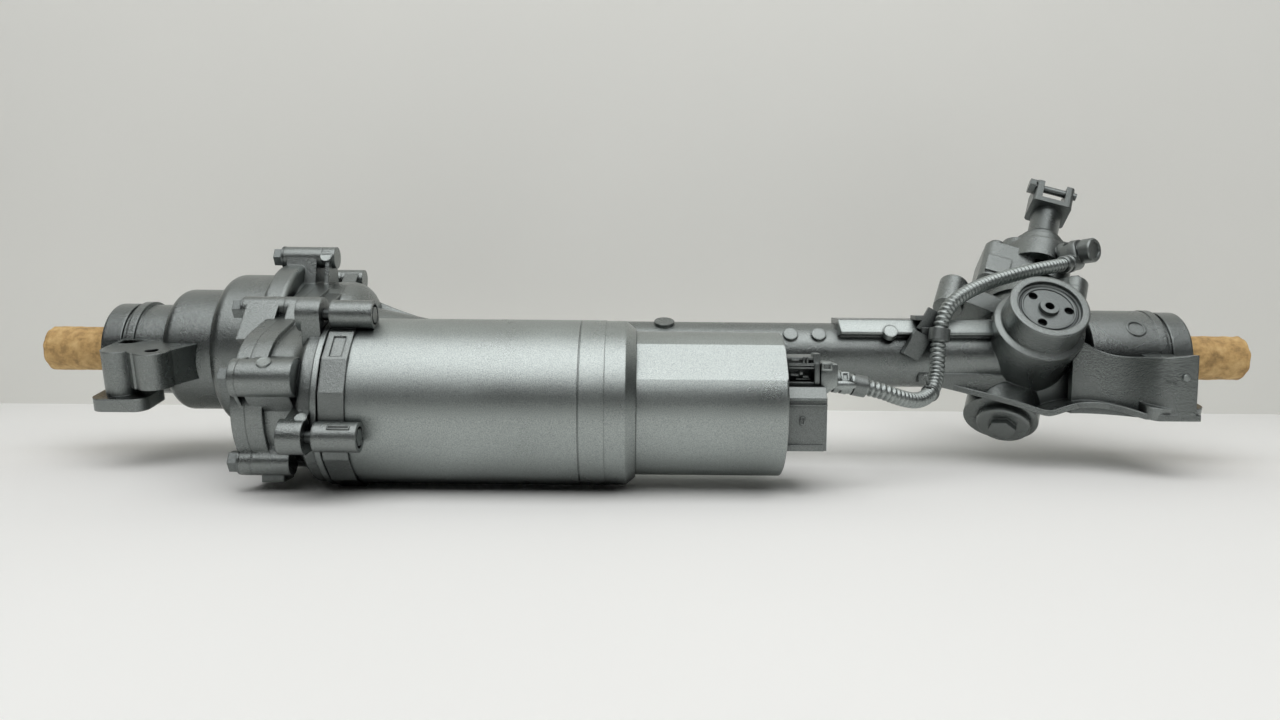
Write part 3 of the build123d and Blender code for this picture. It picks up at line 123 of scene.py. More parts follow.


# Aluminium spray paint: fine leafing flakes in a clear binder over a casting or a steel tube.
# The flakes glitter a little, edges hold a rounded film, and corners and recesses are darkened as painted
# shade.
def sprayedSilver(name, tone, grain, roughness, grainDepth, castSize=1.4, castDepth=0.0,
                  metallic=0.95, edge=0.9):
    material, tree, shader, where = newMaterial(name)
    flakes = addNode(tree, "ShaderNodeTexNoise", None,
                     {"Scale": 1000 / grain, "Detail": 3.0, "Roughness": 0.7}, {"Vector": where})
    clouds = addNode(tree, "ShaderNodeTexNoise", None,
                     {"Scale": spray["cloudScale"], "Detail": 4.0}, {"Vector": where})
    dark, light = tone
    tint = addNode(tree, "ShaderNodeValToRGB", None, None, {"Fac": flakes.outputs["Fac"]})
    setRamp(tint, [(0.3, dark), (0.72, light)])
    patch = addNode(tree, "ShaderNodeValToRGB", None, None, {"Fac": clouds.outputs["Fac"]})
    setRamp(patch, [(0.3, spray["cloudShade"][0]), (0.7, spray["cloudShade"][1])])
    blend = addNode(tree, "ShaderNodeMix", {"data_type": "RGBA", "blend_type": "MULTIPLY"},
                    {"Factor": 1.0})
    tree.links.new(tint.outputs["Color"], blend.inputs[6])
    tree.links.new(patch.outputs["Color"], blend.inputs[7])
    # painted shade: the colour is darkened in corners and recesses, where ambient occlusion finds them
    paintedShadeMask = addNode(tree, "ShaderNodeAmbientOcclusion", {"samples": 4},
                    {"Distance": spray["paintedShadeReach"] / 1000})
    paintedShadeTint = addNode(tree, "ShaderNodeValToRGB", None, None, {"Fac": paintedShadeMask.outputs["AO"]})
    setRamp(paintedShadeTint, [(0.25, spray["paintedShadeTone"]), (0.8, "#FFFFFF")])
    sprayed = addNode(tree, "ShaderNodeMix", {"data_type": "RGBA", "blend_type": "MULTIPLY"},
                      {"Factor": 1.0})
    tree.links.new(blend.outputs[2], sprayed.inputs[6])
    tree.links.new(paintedShadeTint.outputs["Color"], sprayed.inputs[7])
    tree.links.new(sprayed.outputs[2], shader.inputs["Base Color"])
    smoothest, dullest = (roughness + spread for spread in spray["roughnessSpread"])
    rough = addNode(tree, "ShaderNodeMapRange", None,
                    {"From Min": 0.3, "From Max": 0.7, "To Min": smoothest, "To Max": dullest},
                    {"Value": clouds.outputs["Fac"]})
    tree.links.new(rough.outputs["Result"], shader.inputs["Roughness"])
    shader.inputs["Metallic"].default_value = metallic
    film = addNode(tree, "ShaderNodeBevel", {"samples": 4}, {"Radius": edge / 1000})
    bump = addNode(tree, "ShaderNodeBump", None,
                   {"Strength": grainDepth, "Distance": spray["flakeHeight"] / 1000},
                   {"Height": flakes.outputs["Fac"], "Normal": film.outputs["Normal"]})
    if castDepth:
        # the skin of a casting: shallow pits and humps a millimetre or two wide
        skin = addNode(tree, "ShaderNodeTexNoise", None,
                       {"Scale": 1000 / castSize, "Detail": 5.0, "Roughness": 0.6}, {"Vector": where})
        bump = addNode(tree, "ShaderNodeBump", None,
                       {"Strength": castDepth, "Distance": spray["skinHeight"] / 1000},
                       {"Height": skin.outputs["Fac"], "Normal": bump.outputs["Normal"]})
    tree.links.new(bump.outputs["Normal"], shader.inputs["Normal"])
    return material


# Machined or ground steel: fine turning marks that stretch the light.
def bareMetal(name, dark, light, roughness):
    material, tree, shader, where = newMaterial(name)
    marks = addNode(tree, "ShaderNodeTexNoise", None, {"Scale": 900.0, "Detail": 2.0}, {"Vector": where})
    tint = addNode(tree, "ShaderNodeValToRGB", None, None, {"Fac": marks.outputs["Fac"]})
    setRamp(tint, [(0.3, dark), (0.7, light)])
    tree.links.new(tint.outputs["Color"], shader.inputs["Base Color"])
    shader.inputs["Metallic"].default_value = 1.0
    shader.inputs["Roughness"].default_value = roughness
    bump = addNode(tree, "ShaderNodeBump", None, {"Strength": 0.12, "Distance": 0.0002},
                   {"Height": marks.outputs["Fac"]})
    tree.links.new(bump.outputs["Normal"], shader.inputs["Normal"])
    return material


# Moulded polymer or rubber: a slight mottle and a matt grain.
def moulded(name, dark, light, roughness, grain=0.6):
    material, tree, shader, where = newMaterial(name)
    mottle = addNode(tree, "ShaderNodeTexNoise", None,
                     {"Scale": 1000 / grain, "Detail": 3.0}, {"Vector": where})
    tint = addNode(tree, "ShaderNodeValToRGB", None, None, {"Fac": mottle.outputs["Fac"]})
    setRamp(tint, [(0.3, dark), (0.7, light)])
    tree.links.new(tint.outputs["Color"], shader.inputs["Base Color"])
    shader.inputs["Roughness"].default_value = roughness
    bump = addNode(tree, "ShaderNodeBump", None, {"Strength": 0.15, "Distance": 0.0002},
                   {"Height": mottle.outputs["Fac"]})
    tree.links.new(bump.outputs["Normal"], shader.inputs["Normal"])
    return material


# Kraft paper: unbleached pulp with darker fibres, wound tight and creased, so it looks blotchy.
def kraftPaper(name):
    material, tree, shader, where = newMaterial(name)
    blotches = addNode(tree, "ShaderNodeTexNoise", None,
                       {"Scale": 130.0, "Detail": 6.0, "Roughness": 0.65}, {"Vector": where})
    tint = addNode(tree, "ShaderNodeValToRGB", None, None, {"Fac": blotches.outputs["Fac"]})
    setRamp(tint, [(0.3, "#93774D"), (0.5, "#C6A169"), (0.72, "#E2C289")])
    tree.links.new(tint.outputs["Color"], shader.inputs["Base Color"])
    shader.inputs["Roughness"].default_value = 0.75
    fibres = addNode(tree, "ShaderNodeTexNoise", None, {"Scale": 700.0, "Detail": 4.0}, {"Vector": where})
    fine = addNode(tree, "ShaderNodeBump", None, {"Strength": 0.35, "Distance": 0.0004},
                   {"Height": fibres.outputs["Fac"]})
    folds = addNode(tree, "ShaderNodeBump", None, {"Strength": 0.6, "Distance": 0.0012},
                    {"Height": blotches.outputs["Fac"], "Normal": fine.outputs["Normal"]})
    tree.links.new(folds.outputs["Normal"], shader.inputs["Normal"])
    return material


materials = {
    "sprayedCasting": sprayedSilver("sprayedCasting", ("#6F7473", "#9CA19F"), grain=0.55, roughness=0.27,
                                    grainDepth=0.45, castSize=1.6, castDepth=0.3, edge=1.4),
    "sprayedTube": sprayedSilver("sprayedTube", ("#838A88", "#BDC3C1"), grain=0.5, roughness=0.30,
                                 grainDepth=0.45),
    "sprayedPlastic": sprayedSilver("sprayedPlastic", ("#6C7170", "#989D9B"), grain=0.5, roughness=0.34,
                                    grainDepth=0.3, metallic=0.8, edge=0.5),
    "sprayedSteel": sprayedSilver("sprayedSteel", ("#636867", "#8C9190"), grain=0.5, roughness=0.29,
                                  grainDepth=0.4, castSize=1.2, castDepth=0.2, edge=0.6),
    "groundSteel": bareMetal("groundSteel", "#8E9092", "#B5B7B8", 0.25),
    "hardenedSteel": bareMetal("hardenedSteel", "#5E6063", "#8C8E90", 0.3),
    "laminatedIron": bareMetal("laminatedIron", "#4A4B4E", "#6E6F72", 0.5),
    "tinnedBrass": bareMetal("tinnedBrass", "#A8905A", "#CBB681", 0.25),
    "blackRubber": moulded("blackRubber", "#101010", "#1E1E1E", 0.7),
    "glassNylon": moulded("glassNylon", "#B9AF98", "#CFC6B1", 0.5),
    "circuitBoard": moulded("circuitBoard", "#0E3B20", "#1B5A33", 0.35, 2.0),
    "kraftPaper": kraftPaper("kraftPaper"),
}

finishOf = {
    "sprayedTube": ["motor_tube", "control_housing"],
    "sprayedPlastic": ["power_connector", "sensor_socket", "control_plug", "cable_conduit", "saddle_clip",
                       "tower_plug", "tower_socket", "tube_clip"],
    "sprayedSteel": ["joint_bolts", "motor_bolts", "sensor_bolts", "coupling_fork", "pinch_bolt",
                     "dust_disc", "input_shaft", "yoke_plug"],
    "groundSteel": ["rack_bar", "rotor_shaft", "nut_bearing_inner", "nut_bearing_outer",
                    "nut_bearing_balls", "pinion_bearing_low", "pinion_bearing_high",
                    "motor_bearing_front", "motor_bearing_rear"],
    "hardenedSteel": ["pinion", "torsion_bar", "ball_nut", "yoke_spring", "pinion_collar", "input_collar",
                      "nut_lock_ring", "bearing_lock_ring", "small_pulley"],
    "laminatedIron": ["rotor", "stator", "capacitors"],
    "tinnedBrass": ["power_pins"],
    "blackRubber": ["drive_belt", "motor_seal", "shaft_seal"],
    "glassNylon": ["bush", "yoke_liner", "large_pulley"],
    "circuitBoard": ["control_board", "sensor_board"],
    "kraftPaper": ["wrap_left", "wrap_right"],
}
finishByNode = {node: finish for finish, names in finishOf.items() for node in names}
for nodeName, cadObject in nodes.items():
    cadObject.data.materials.clear()
    cadObject.data.materials.append(materials[finishByNode.get(nodeName, "sprayedCasting")])
print("materials assigned")


# The corrugated conduit follows its route on one smooth curve.
conduit = {
    "route": [(124, -97, -11), (141, -96, -14.2), (157, -89, -20.5), (172.5, -75, -24), (186.5, -57, -20),
              (193.5, -43, -8), (195.5, -36, 8), (198, -33, 25), (206, -26, 37), (221, -15, 45.5),
              (240, -1, 52), (260, 11, 57), (278, 19.5, 61), (295.5, 28, 64), (312, 40, 66.3)],
    # the real ribs are about 2.5 mm apart, drawn a little coarser so that they show
    "crest": 0.0051,
    "valley": 0.0037,
    "pitch": 0.0036,
    "pointsPerRib": 6,
    "heights": (0.0, 0.0, 0.85, 1.0, 1.0, 0.85),
    "sides": 24,
    "steps": 24,
}


def smoothLine(points, steps):
    curve = bpy.data.curves.new("line", "CURVE")
    curve.dimensions = "3D"
    spline = curve.splines.new("NURBS")
    spline.points.add(len(points) - 1)
    for spot, point in zip(points, spline.points):
        point.co = (*place(*spot), 1.0)
    spline.order_u = 3
    spline.use_endpoint_u = True
    spline.resolution_u = steps
    holder = bpy.data.objects.new("line", curve)
    bpy.context.scene.collection.objects.link(holder)
    bpy.context.view_layer.update()
    mesh = bpy.data.meshes.new_from_object(holder.evaluated_get(bpy.context.evaluated_depsgraph_get()))
    line = [v.co.copy() for v in mesh.vertices]
    bpy.data.objects.remove(holder)
    bpy.data.curves.remove(curve)
    bpy.data.meshes.remove(mesh)
    return line


def evenly(line, spacing):
    # points along a line at one spacing, read from the line's own points
    total = sum((b - a).length for a, b in zip(line, line[1:]))
    count = max(2, round(total / spacing))
    step = total / count
    spots, walked, target = [line[0]], 0.0, step
    for a, b in zip(line, line[1:]):
        length = (b - a).length
        while walked + length >= target - 1e-9 and len(spots) < count:
            spots.append(a.lerp(b, (target - walked) / length))
            target += step
        walked += length
    return spots + [line[-1]]


def finishMesh(bm, name, smooth=True):
    bmesh.ops.recalc_face_normals(bm, faces=bm.faces)
    mesh = bpy.data.meshes.new(name)
    bm.to_mesh(mesh)
    bm.free()
    for polygon in mesh.polygons:
        polygon.use_smooth = smooth
    piece = bpy.data.objects.new(name, mesh)
    bpy.context.scene.collection.objects.link(piece)
    return piece


def sweptTube(name, line, radii, sides):
    # a ring is extruded along the line and turned to follow it
    bm = bmesh.new()
    heading = (line[1] - line[0]).normalized()
    turn = heading.to_track_quat("Z", "Y").to_matrix().to_4x4()
    ringVerts = bmesh.ops.create_circle(bm, segments=sides, radius=radii[0],
                                        matrix=Matrix.Translation(line[0]) @ turn)["verts"]
    firstRing = list(ringVerts)
    edges = list({e for v in ringVerts for e in v.link_edges})
    for index in range(1, len(line)):
        ahead = line[min(index + 1, len(line) - 1)] - line[index - 1]
        swing = heading.rotation_difference(ahead.normalized()).to_matrix().to_4x4()
        made = bmesh.ops.extrude_edge_only(bm, edges=edges)["geom"]
        ringVerts = [g for g in made if isinstance(g, bmesh.types.BMVert)]
        edges = [g for g in made if isinstance(g, bmesh.types.BMEdge)]
        growth = radii[index] / radii[index - 1]
        move = (Matrix.Translation(line[index]) @ swing @ Matrix.Scale(growth, 4)
                @ Matrix.Translation(-line[index - 1]))
        bmesh.ops.transform(bm, matrix=move, verts=ringVerts)
        heading = ahead.normalized()
    bmesh.ops.contextual_create(bm, geom=firstRing)
    bmesh.ops.contextual_create(bm, geom=ringVerts)
    return finishMesh(bm, name)


def ribRadius(index):
    # valley and crest take turns along the conduit
    height = conduit["heights"][index % conduit["pointsPerRib"]]
    return conduit["valley"] + (conduit["crest"] - conduit["valley"]) * height


conduitLine = evenly(smoothLine(conduit["route"], conduit["steps"]),
                     conduit["pitch"] / conduit["pointsPerRib"])
conduitRadii = [ribRadius(index) for index in range(len(conduitLine))]
conduitPiece = sweptTube("corrugatedConduit", conduitLine, conduitRadii, conduit["sides"])
# the conduit takes the lighter tube paint as a painted highlight; its hidden CAD node has the darker
# plastic paint
conduitPiece.data.materials.append(materials["sprayedTube"])
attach(conduitPiece, "housing")
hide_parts("cable_conduit")

# Small moulded and cast forms are drawn in millimetres from the rack axis and moved into the frame last.
smallForms = {
    "mergeWithin": 0.001,
    "seamWithin": 0.0001,
    # edges folded by more radians than this stay sharp
    "sharpFrom": 0.6,
    "bevelSegments": 2,
}


def finishPiece(bm, name, material):
    bmesh.ops.remove_doubles(bm, verts=bm.verts, dist=smallForms["mergeWithin"])
    for edge in bm.edges:
        edge.smooth = edge.calc_face_angle(0) < smallForms["sharpFrom"]
    bmesh.ops.transform(bm, matrix=Matrix.Translation(rackAxis) @ Matrix.Scale(0.001, 4), verts=bm.verts)
    piece = finishMesh(bm, name)
    piece.data.materials.append(materials[material])
    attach(piece, "housing")
    return piece


def facing(spot, direction):
    # local Z looks along the direction and local X stays near the rack's own line
    ahead = Vector(direction).normalized()
    along = Vector((1, 0, 0)) if abs(ahead.x) < 0.9 else Vector((0, 1, 0))
    across = ahead.cross(along).normalized()
    turn = Matrix((across.cross(ahead), across, ahead)).transposed().to_4x4()
    return Matrix.Translation(Vector(spot)) @ turn


# A turned form: its profile of radius and height is spun about the direction.
def turned(bm, profile, spot, direction, steps=48, closed=False):
    before = set(bm.verts)
    verts = [bm.verts.new((radius, 0, height)) for radius, height in profile]
    pairs = list(zip(verts, verts[1:])) + ([(verts[-1], verts[0])] if closed else [])
    edges = [bm.edges.new(pair) for pair in pairs]
    bmesh.ops.spin(bm, geom=verts + edges, cent=(0, 0, 0), axis=(0, 0, 1), angle=math.tau, steps=steps,
                   use_merge=True)
    fresh = [v for v in bm.verts if v not in before]
    bmesh.ops.transform(bm, matrix=facing(spot, direction), verts=fresh)


def bevelEdges(bm, edges, width):
    bmesh.ops.bevel(bm, geom=edges, offset=width, segments=smallForms["bevelSegments"], profile=0.5,
                    affect="EDGES", material=-1)


# A block with rounded edges, sized along the rack, across it and through.
# A dish sinks its outer face inside a rim.
def pad(bm, size, spot, direction=(0, -1, 0), corner=0.4, dish=0.0, rim=0.8):
    before = set(bm.verts)
    made = bmesh.ops.create_cube(bm, size=1, matrix=Matrix.Diagonal((*size, 1)))["verts"]
    edges = list({e for v in made for e in v.link_edges})
    bevelEdges(bm, edges, corner)
    fresh = [v for v in bm.verts if v not in before]
    if dish:
        faces = {f for v in fresh for f in v.link_faces}
        top = max(faces, key=lambda f: f.calc_center_median().z * 1000 + f.calc_area())
        bmesh.ops.inset_individual(bm, faces=[top], thickness=rim)
        made = bmesh.ops.extrude_discrete_faces(bm, faces=[top])["faces"]
        bmesh.ops.translate(bm, vec=(0, 0, -dish), verts=made[0].verts)
        bmesh.ops.remove_doubles(bm, verts=bm.verts, dist=smallForms["seamWithin"])
        fresh = [v for v in bm.verts if v not in before]
    bmesh.ops.transform(bm, matrix=facing(spot, direction), verts=fresh)


# The conduit's plug in the control unit: a body cut away below, latch windows, a ribbed collar, a grip.
controlPlug = {
    "body": ((10.4, 20.4, 25.6), (108.3, -97, -7.9)),
    "cutAway": 6.5,
    "collar": [(0, -15), (7.0, -15), (7.0, -12.6), (5.9, -12.3), (5.9, -11.2), (7.1, -10.9), (7.1, -8.0),
               (6.0, -7.7), (6.0, -6.6), (6.9, -6.3), (6.9, -2.6), (6.3, -2.2), (6.3, 0.4), (0, 0.4)],
    "collarEnd": (124, -97, -11),
    "collarWay": (17, 1, -3.2),
    "latch": ((6.6, 5.0, 2.6), (106.4, -110.4, 0.7)),
    "window": ((5.4, 6.6, 3.2), (119.2, -102.6, -6.4)),
    "nub": ((2.6, 4.6, 2.8), (124.6, -102.4, -7.6)),
    "grip": ((17.4, 3.6, 6.0), (116.8, -106.6, -10.9)),
    "frontUp": (0, -0.86, 0.5),
    "bodyCorner": 0.8,
    "smallCorner": 0.6,
    "windowRim": 1.0,
}


def makeControlPlug():
    bm = bmesh.new()
    pad(bm, *controlPlug["body"], corner=controlPlug["bodyCorner"])
    middle = Vector(controlPlug["body"][1])
    for vert in bm.verts:
        if vert.co.x > middle.x and vert.co.z < middle.z:
            vert.co.z += controlPlug["cutAway"]
    turned(bm, controlPlug["collar"], controlPlug["collarEnd"], controlPlug["collarWay"])
    small, rim, up = controlPlug["smallCorner"], controlPlug["windowRim"], controlPlug["frontUp"]
    pad(bm, *controlPlug["latch"], corner=small, dish=1.2, rim=rim)
    pad(bm, *controlPlug["window"], up, corner=small, dish=1.0, rim=rim)
    pad(bm, *controlPlug["nub"], up, corner=small)
    size, spot = controlPlug["grip"]
    bmesh.ops.create_uvsphere(bm, u_segments=32, v_segments=16, radius=0.5,
                              matrix=Matrix.Translation(spot) @ Matrix.Diagonal((*size, 1)))
    # the plug body takes the lighter tube paint as a painted highlight; its hidden CAD node has the darker
    # plastic paint
    piece = finishPiece(bm, "controlPlugBody", "sprayedTube")
    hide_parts("control_plug")
    return piece


# The control unit's open socket: a frame with rails across its mouth and terminals inside.
socketFrame = {
    "size": (22.4, 17.2, 27),
    "spot": (91.2, -97, -2.4),
    "wall": 1.5,
    "depth": 19,
    "rails": [((16.5, 1.7, 1.6), (91.6, -110.6, 1.9)), ((16.5, 0.9, 1.6), (91.6, -110.6, -0.2)),
              ((16.5, 1.1, 1.6), (91.6, -110.6, -9.0))],
    "column": ((3.4, 13.2, 3.0), (100.6, -110.9, -3.4)),
    "tab": ((4.2, 9.0, 9.0), (100.5, -106.5, 4.0)),
    "terminals": [((5.0, 1.6, 3), (87.6, -107.5, -4.4)), ((3.6, 1.3, 3), (94.4, -107.0, -5.6)),
                  ((9.0, 0.8, 3), (93.0, -106.5, -7.2)), ((2.2, 2.4, 3), (91.6, -107.5, -3.4))],
    "ribs": [((1.0, 4.6, 1.4), (92.6, -110.9, 4.3)), ((1.0, 4.6, 1.4), (94.8, -110.9, 4.3)),
             ((4.8, 1.2, 1.4), (87.4, -110.9, 4.6))],
}


def makeSocketFrame():
    bm = bmesh.new()
    pad(bm, socketFrame["size"], socketFrame["spot"], corner=0.5,
        dish=socketFrame["depth"], rim=socketFrame["wall"])
    for size, spot in socketFrame["rails"]:
        pad(bm, size, spot, corner=0.25)
    pad(bm, *socketFrame["column"], corner=1.1)
    pad(bm, *socketFrame["tab"], corner=0.4)
    for size, spot in socketFrame["terminals"] + socketFrame["ribs"]:
        pad(bm, size, spot, corner=0.3)
    piece = finishPiece(bm, "controlSocketFrame", "sprayedPlastic")
    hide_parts("sensor_socket")


# The conduit's plug at the torque sensor: ribbed round boots, one on the socket and one on the conduit.
towerPlug = {
    "socketBoot": [(0, 0), (8.0, 0), (8.8, 0.8), (8.8, 4.2), (7.2, 5.0), (7.2, 7.4), (9.4, 8.2),
                   (9.4, 13.6), (7.6, 14.4), (7.6, 16.4), (9.2, 17.2), (9.2, 24.4), (8.2, 25.6),
                   (6.2, 25.6), (5.8, 24.4), (0, 24.4)],
    "socketSpot": (319.6, 60.2, 74.6),
    "socketWay": (0.53, -0.76, 0.1),
    "conduitBoot": [(0, -3), (5.6, -3), (6.6, -2), (6.6, 1.4), (5.8, 2.2), (5.8, 3.8), (6.8, 4.6),
                    (6.8, 8.0), (6.0, 8.8), (6.0, 18), (0, 18)],
    "conduitEnd": (312, 40, 66.3),
    "conduitWay": (16.5, 12, 2.3),
    "block": ((13, 16, 15), (322, 50.5, 73.5)),
    "blockWay": (0.53, -0.76, 0.37),
}


def makeTowerPlug():
    bm = bmesh.new()
    turned(bm, towerPlug["socketBoot"], towerPlug["socketSpot"], towerPlug["socketWay"])
    turned(bm, towerPlug["conduitBoot"], towerPlug["conduitEnd"], towerPlug["conduitWay"])
    pad(bm, *towerPlug["block"], towerPlug["blockWay"], corner=3.0)
    piece = finishPiece(bm, "towerPlugBoots", "sprayedPlastic")
    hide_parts("tower_plug")
    return piece


controlPlugPiece = makeControlPlug()
makeSocketFrame()
towerPlugPiece = makeTowerPlug()
print("plugs made")


# Kraft paper wound round each end of the bar and folded in over its face, in millimetres.
paper = {
    "radius": 15.55,
    "start": 378.5,
    "end": 421.0,
    "corner": 2.2,
    "mouth": 9.0,
    "foldRadii": (12.6, 11.6, 10.6, 9.8),
    "tuckDepths": (1.0, 2.4),
    "step": 0.8,
    "sides": 120,
    "crease": 1.3,
    "creaseSize": 11.0,
    "ripple": 0.25,
    "rippleSize": 6,
    "pleats": 9,
    "pleatDepth": 0.35,
    "pleatStart": 3.0,
    "pleatFade": 5.0,
    "pleatWander": 2,
    "pleatWanderSize": 9,
    "sideShift": 7,
    "insideRadius": 14.7,
    "barEnd": 418.0,
}


def arange(start, stop, step):
    count = max(1, round((stop - start) / step))
    return [start + (stop - start) * index / count for index in range(count + 1)]


def paperProfile():
    # along the bar, round the corner, in over the bar's face and down into the fold
    corner, mouth, end = paper["corner"], paper["mouth"], paper["end"]
    straight = [(x, paper["radius"]) for x in arange(paper["start"], end - corner, paper["step"])]
    folded = [(end - corner * (1 - math.sin(turn)), paper["radius"] - corner * (1 - math.cos(turn)))
              for turn in arange(0.0, math.pi / 2, math.pi / 16)]
    inward = [(end, radius) for radius in (*paper["foldRadii"], mouth)]
    tucked = [(end - depth, mouth) for depth in paper["tuckDepths"]]
    return straight + folded + inward + tucked


def creasePaper(bm, side):
    for vert in bm.verts:
        spot = (vert.co - rackAxis) * 1000
        away = Vector((0, spot.y, spot.z))
        reach = away.length
        if reach < paper["mouth"] - 0.5:
            continue
        # creases run where the cells of the crumpled sheet meet
        shift = Vector((side * paper["sideShift"], 0, 0))
        near, far = noise.voronoi(spot / paper["creaseSize"] + shift)[0][:2]
        dent = -paper["crease"] * 0.5 * (0.5 - min(far - near, 0.5))
        dent += paper["ripple"] * noise.noise(spot / paper["rippleSize"])
        # pleats gather the sheet towards its folded end
        past = abs(spot.x) - paper["end"] + paper["corner"] + paper["pleatStart"]
        closing = max(0.0, past / paper["pleatFade"])
        wander = paper["pleatWander"] * noise.noise(spot / paper["pleatWanderSize"])
        turns = paper["pleats"] * math.atan2(spot.z, spot.y)
        pleat = paper["pleatDepth"] * closing * math.sin(turns + wander)
        # the sheet lies on the bar and never goes into it
        overBar = abs(spot.x) < paper["barEnd"] and reach > paper["insideRadius"] + 0.1
        lowest = paper["insideRadius"] if overBar else 0.0
        vert.co += away.normalized() * (max(reach + dent + pleat, lowest) - reach) / 1000


def paperWrap(name, side, node):
    profile = paperProfile()
    bm = bmesh.new()
    upright = Matrix.Rotation(math.radians(90), 4, "Y")
    start = Matrix.Translation(place(side * profile[0][0], 0, 0)) @ upright
    ringVerts = bmesh.ops.create_circle(bm, segments=paper["sides"], radius=profile[0][1] / 1000,
                                        matrix=start)["verts"]
    edges = list({e for v in ringVerts for e in v.link_edges})
    for (x, radius), (nextX, nextRadius) in zip(profile, profile[1:]):
        made = bmesh.ops.extrude_edge_only(bm, edges=edges)["geom"]
        ringVerts = [g for g in made if isinstance(g, bmesh.types.BMVert)]
        edges = [g for g in made if isinstance(g, bmesh.types.BMEdge)]
        grow = nextRadius / radius
        here, there = place(side * x, 0, 0), place(side * nextX, 0, 0)
        bmesh.ops.transform(bm, verts=ringVerts, matrix=Matrix.Translation(there)
                            @ Matrix.Diagonal((1, grow, grow, 1)) @ Matrix.Translation(-here))
    bmesh.ops.contextual_create(bm, geom=ringVerts)
    creasePaper(bm, side)
    piece = finishMesh(bm, name)
    piece.data.materials.append(materials["kraftPaper"])
    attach(piece, "rack")
    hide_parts(node)
    return piece


paperWrap("paperWrapLeft", -1, "wrap_left")
paperWrap("paperWrapRight", 1, "wrap_right")
print("paper wraps made")


# Marks that the die's ejector pins leave on the castings, a pin and the ring that seats the motor.
castDiscs = {
    "discs": [((-224.6, -7.0, 66.4), 25, 4.2), ((-213, -150.7, 3.7), 58, 4.1),
              ((-191.5, -155.1, -26.8), 50, 3.5), ((166.4, -24.3, 18.2), 36, 5.1)],
    "rise": 0.9,
    "sink": 4.0,
    "rim": 0.5,
    "dish": 0.3,
    "chamfer": 0.2,
    "steps": 32,
    "pin": ((344, -70, -7.9), 2.3, 1.8),
    "pinRoot": 2,
    "pinChamfer": 0.4,
    "pinSteps": 24,
    "seatRing": [(47, 0), (50.3, 0), (50.7, 0.5), (50.7, 3.2), (50.3, 3.7), (47, 3.7)],
    "seatSpot": (-188.9, -98.7, -23.3),
    "seatSteps": 128,
}


def makeCastDiscs():
    bm = bmesh.new()
    rise, sink, rim, dish, chamfer = (castDiscs[key] for key in ("rise", "sink", "rim", "dish", "chamfer"))
    for spot, angle, radius in castDiscs["discs"]:
        # each looks away from its lug, turned up from level by its angle
        way = (0, -math.cos(math.radians(angle)), math.sin(math.radians(angle)))
        profile = [(0, rise - dish), (radius - rim - dish, rise - dish), (radius - rim, rise),
                   (radius - chamfer, rise), (radius, rise - chamfer), (radius, -sink), (0, -sink)]
        turned(bm, profile, spot, way, castDiscs["steps"])
    spot, radius, height = castDiscs["pin"]
    root, chamfer = castDiscs["pinRoot"], castDiscs["pinChamfer"]
    profile = [(0, height), (radius - chamfer, height), (radius, height - chamfer),
               (radius, -root), (0, -root)]
    turned(bm, profile, spot, (0, -1, 0), castDiscs["pinSteps"])
    turned(bm, castDiscs["seatRing"], castDiscs["seatSpot"], (1, 0, 0), castDiscs["seatSteps"], closed=True)
    # these marks take the lighter tube paint as a painted highlight; the castings around them have the
    # darker casting paint
    finishPiece(bm, "castDiscs", "sprayedTube")


# The slope in front of the tube's ledge.
ledgeSlope = {
    "section": [(-17.5, 26.2), (-24, 17.6), (-24, 16.0), (-17.5, 14.3)],
    "ends": (131.5, 245),
    # the low end is cut slanting, by this much and in front of this line
    "slant": 1.5,
    "slantFrom": -20,
    "corner": 0.6,
}


def makeLedgeSlope():
    bm = bmesh.new()
    low, high = ledgeSlope["ends"]
    face = bm.faces.new([bm.verts.new((low, y, z)) for y, z in ledgeSlope["section"]])
    made = bmesh.ops.extrude_face_region(bm, geom=[face])["geom"]
    farEnd = [g for g in made if isinstance(g, bmesh.types.BMVert)]
    bmesh.ops.translate(bm, vec=(high - low, 0, 0), verts=farEnd)
    for vert in bm.verts:
        if vert.co.x < low + 1 and vert.co.y < ledgeSlope["slantFrom"]:
            vert.co.x += ledgeSlope["slant"]
    bevelEdges(bm, bm.edges[:], ledgeSlope["corner"])
    # the slope takes the lighter tube paint as a painted highlight; the casting it belongs to has the
    # darker casting paint
    finishPiece(bm, "ledgeSlope", "sprayedTube")


# The raised ring on the yoke plug's face.
plugRing = {
    "profile": [(16.2, -0.5), (16.4, 0.5), (16.8, 0.8), (17.6, 0.8), (18.0, 0.5), (18.2, -0.5)],
    "spot": (267, -40.6, 34.95),
    "way": (0, -0.7581, 0.6521),
    "steps": 96,
}


def makePlugRing():
    bm = bmesh.new()
    turned(bm, plugRing["profile"], plugRing["spot"], plugRing["way"], plugRing["steps"], closed=True)
    finishPiece(bm, "plugFaceRing", "sprayedSteel")


# The rimmed slot on the motor shield's low lug.
lugSlot = {
    "size": (12.5, 2.6, 1.4),
    "spot": (-169.4, -160.1, -31.0),
    "way": (0, -0.71, 0.7),
}


def makeLugSlot():
    bm = bmesh.new()
    pad(bm, lugSlot["size"], lugSlot["spot"], lugSlot["way"], corner=0.3, dish=0.6, rim=0.7)
    finishPiece(bm, "lugSlotRim", "sprayedCasting")


# Two ribs and a latch window on the front of the power connector.
connectorRibs = {
    "ribs": [((24, 1.2, 2.2), (92.5, -122.9, -17.8)), ((24.4, 1.0, 2.2), (92.7, -122.9, -21.0))],
    "window": ((3.0, 4.8, 1.6), (90.6, -122.7, -30.3)),
}


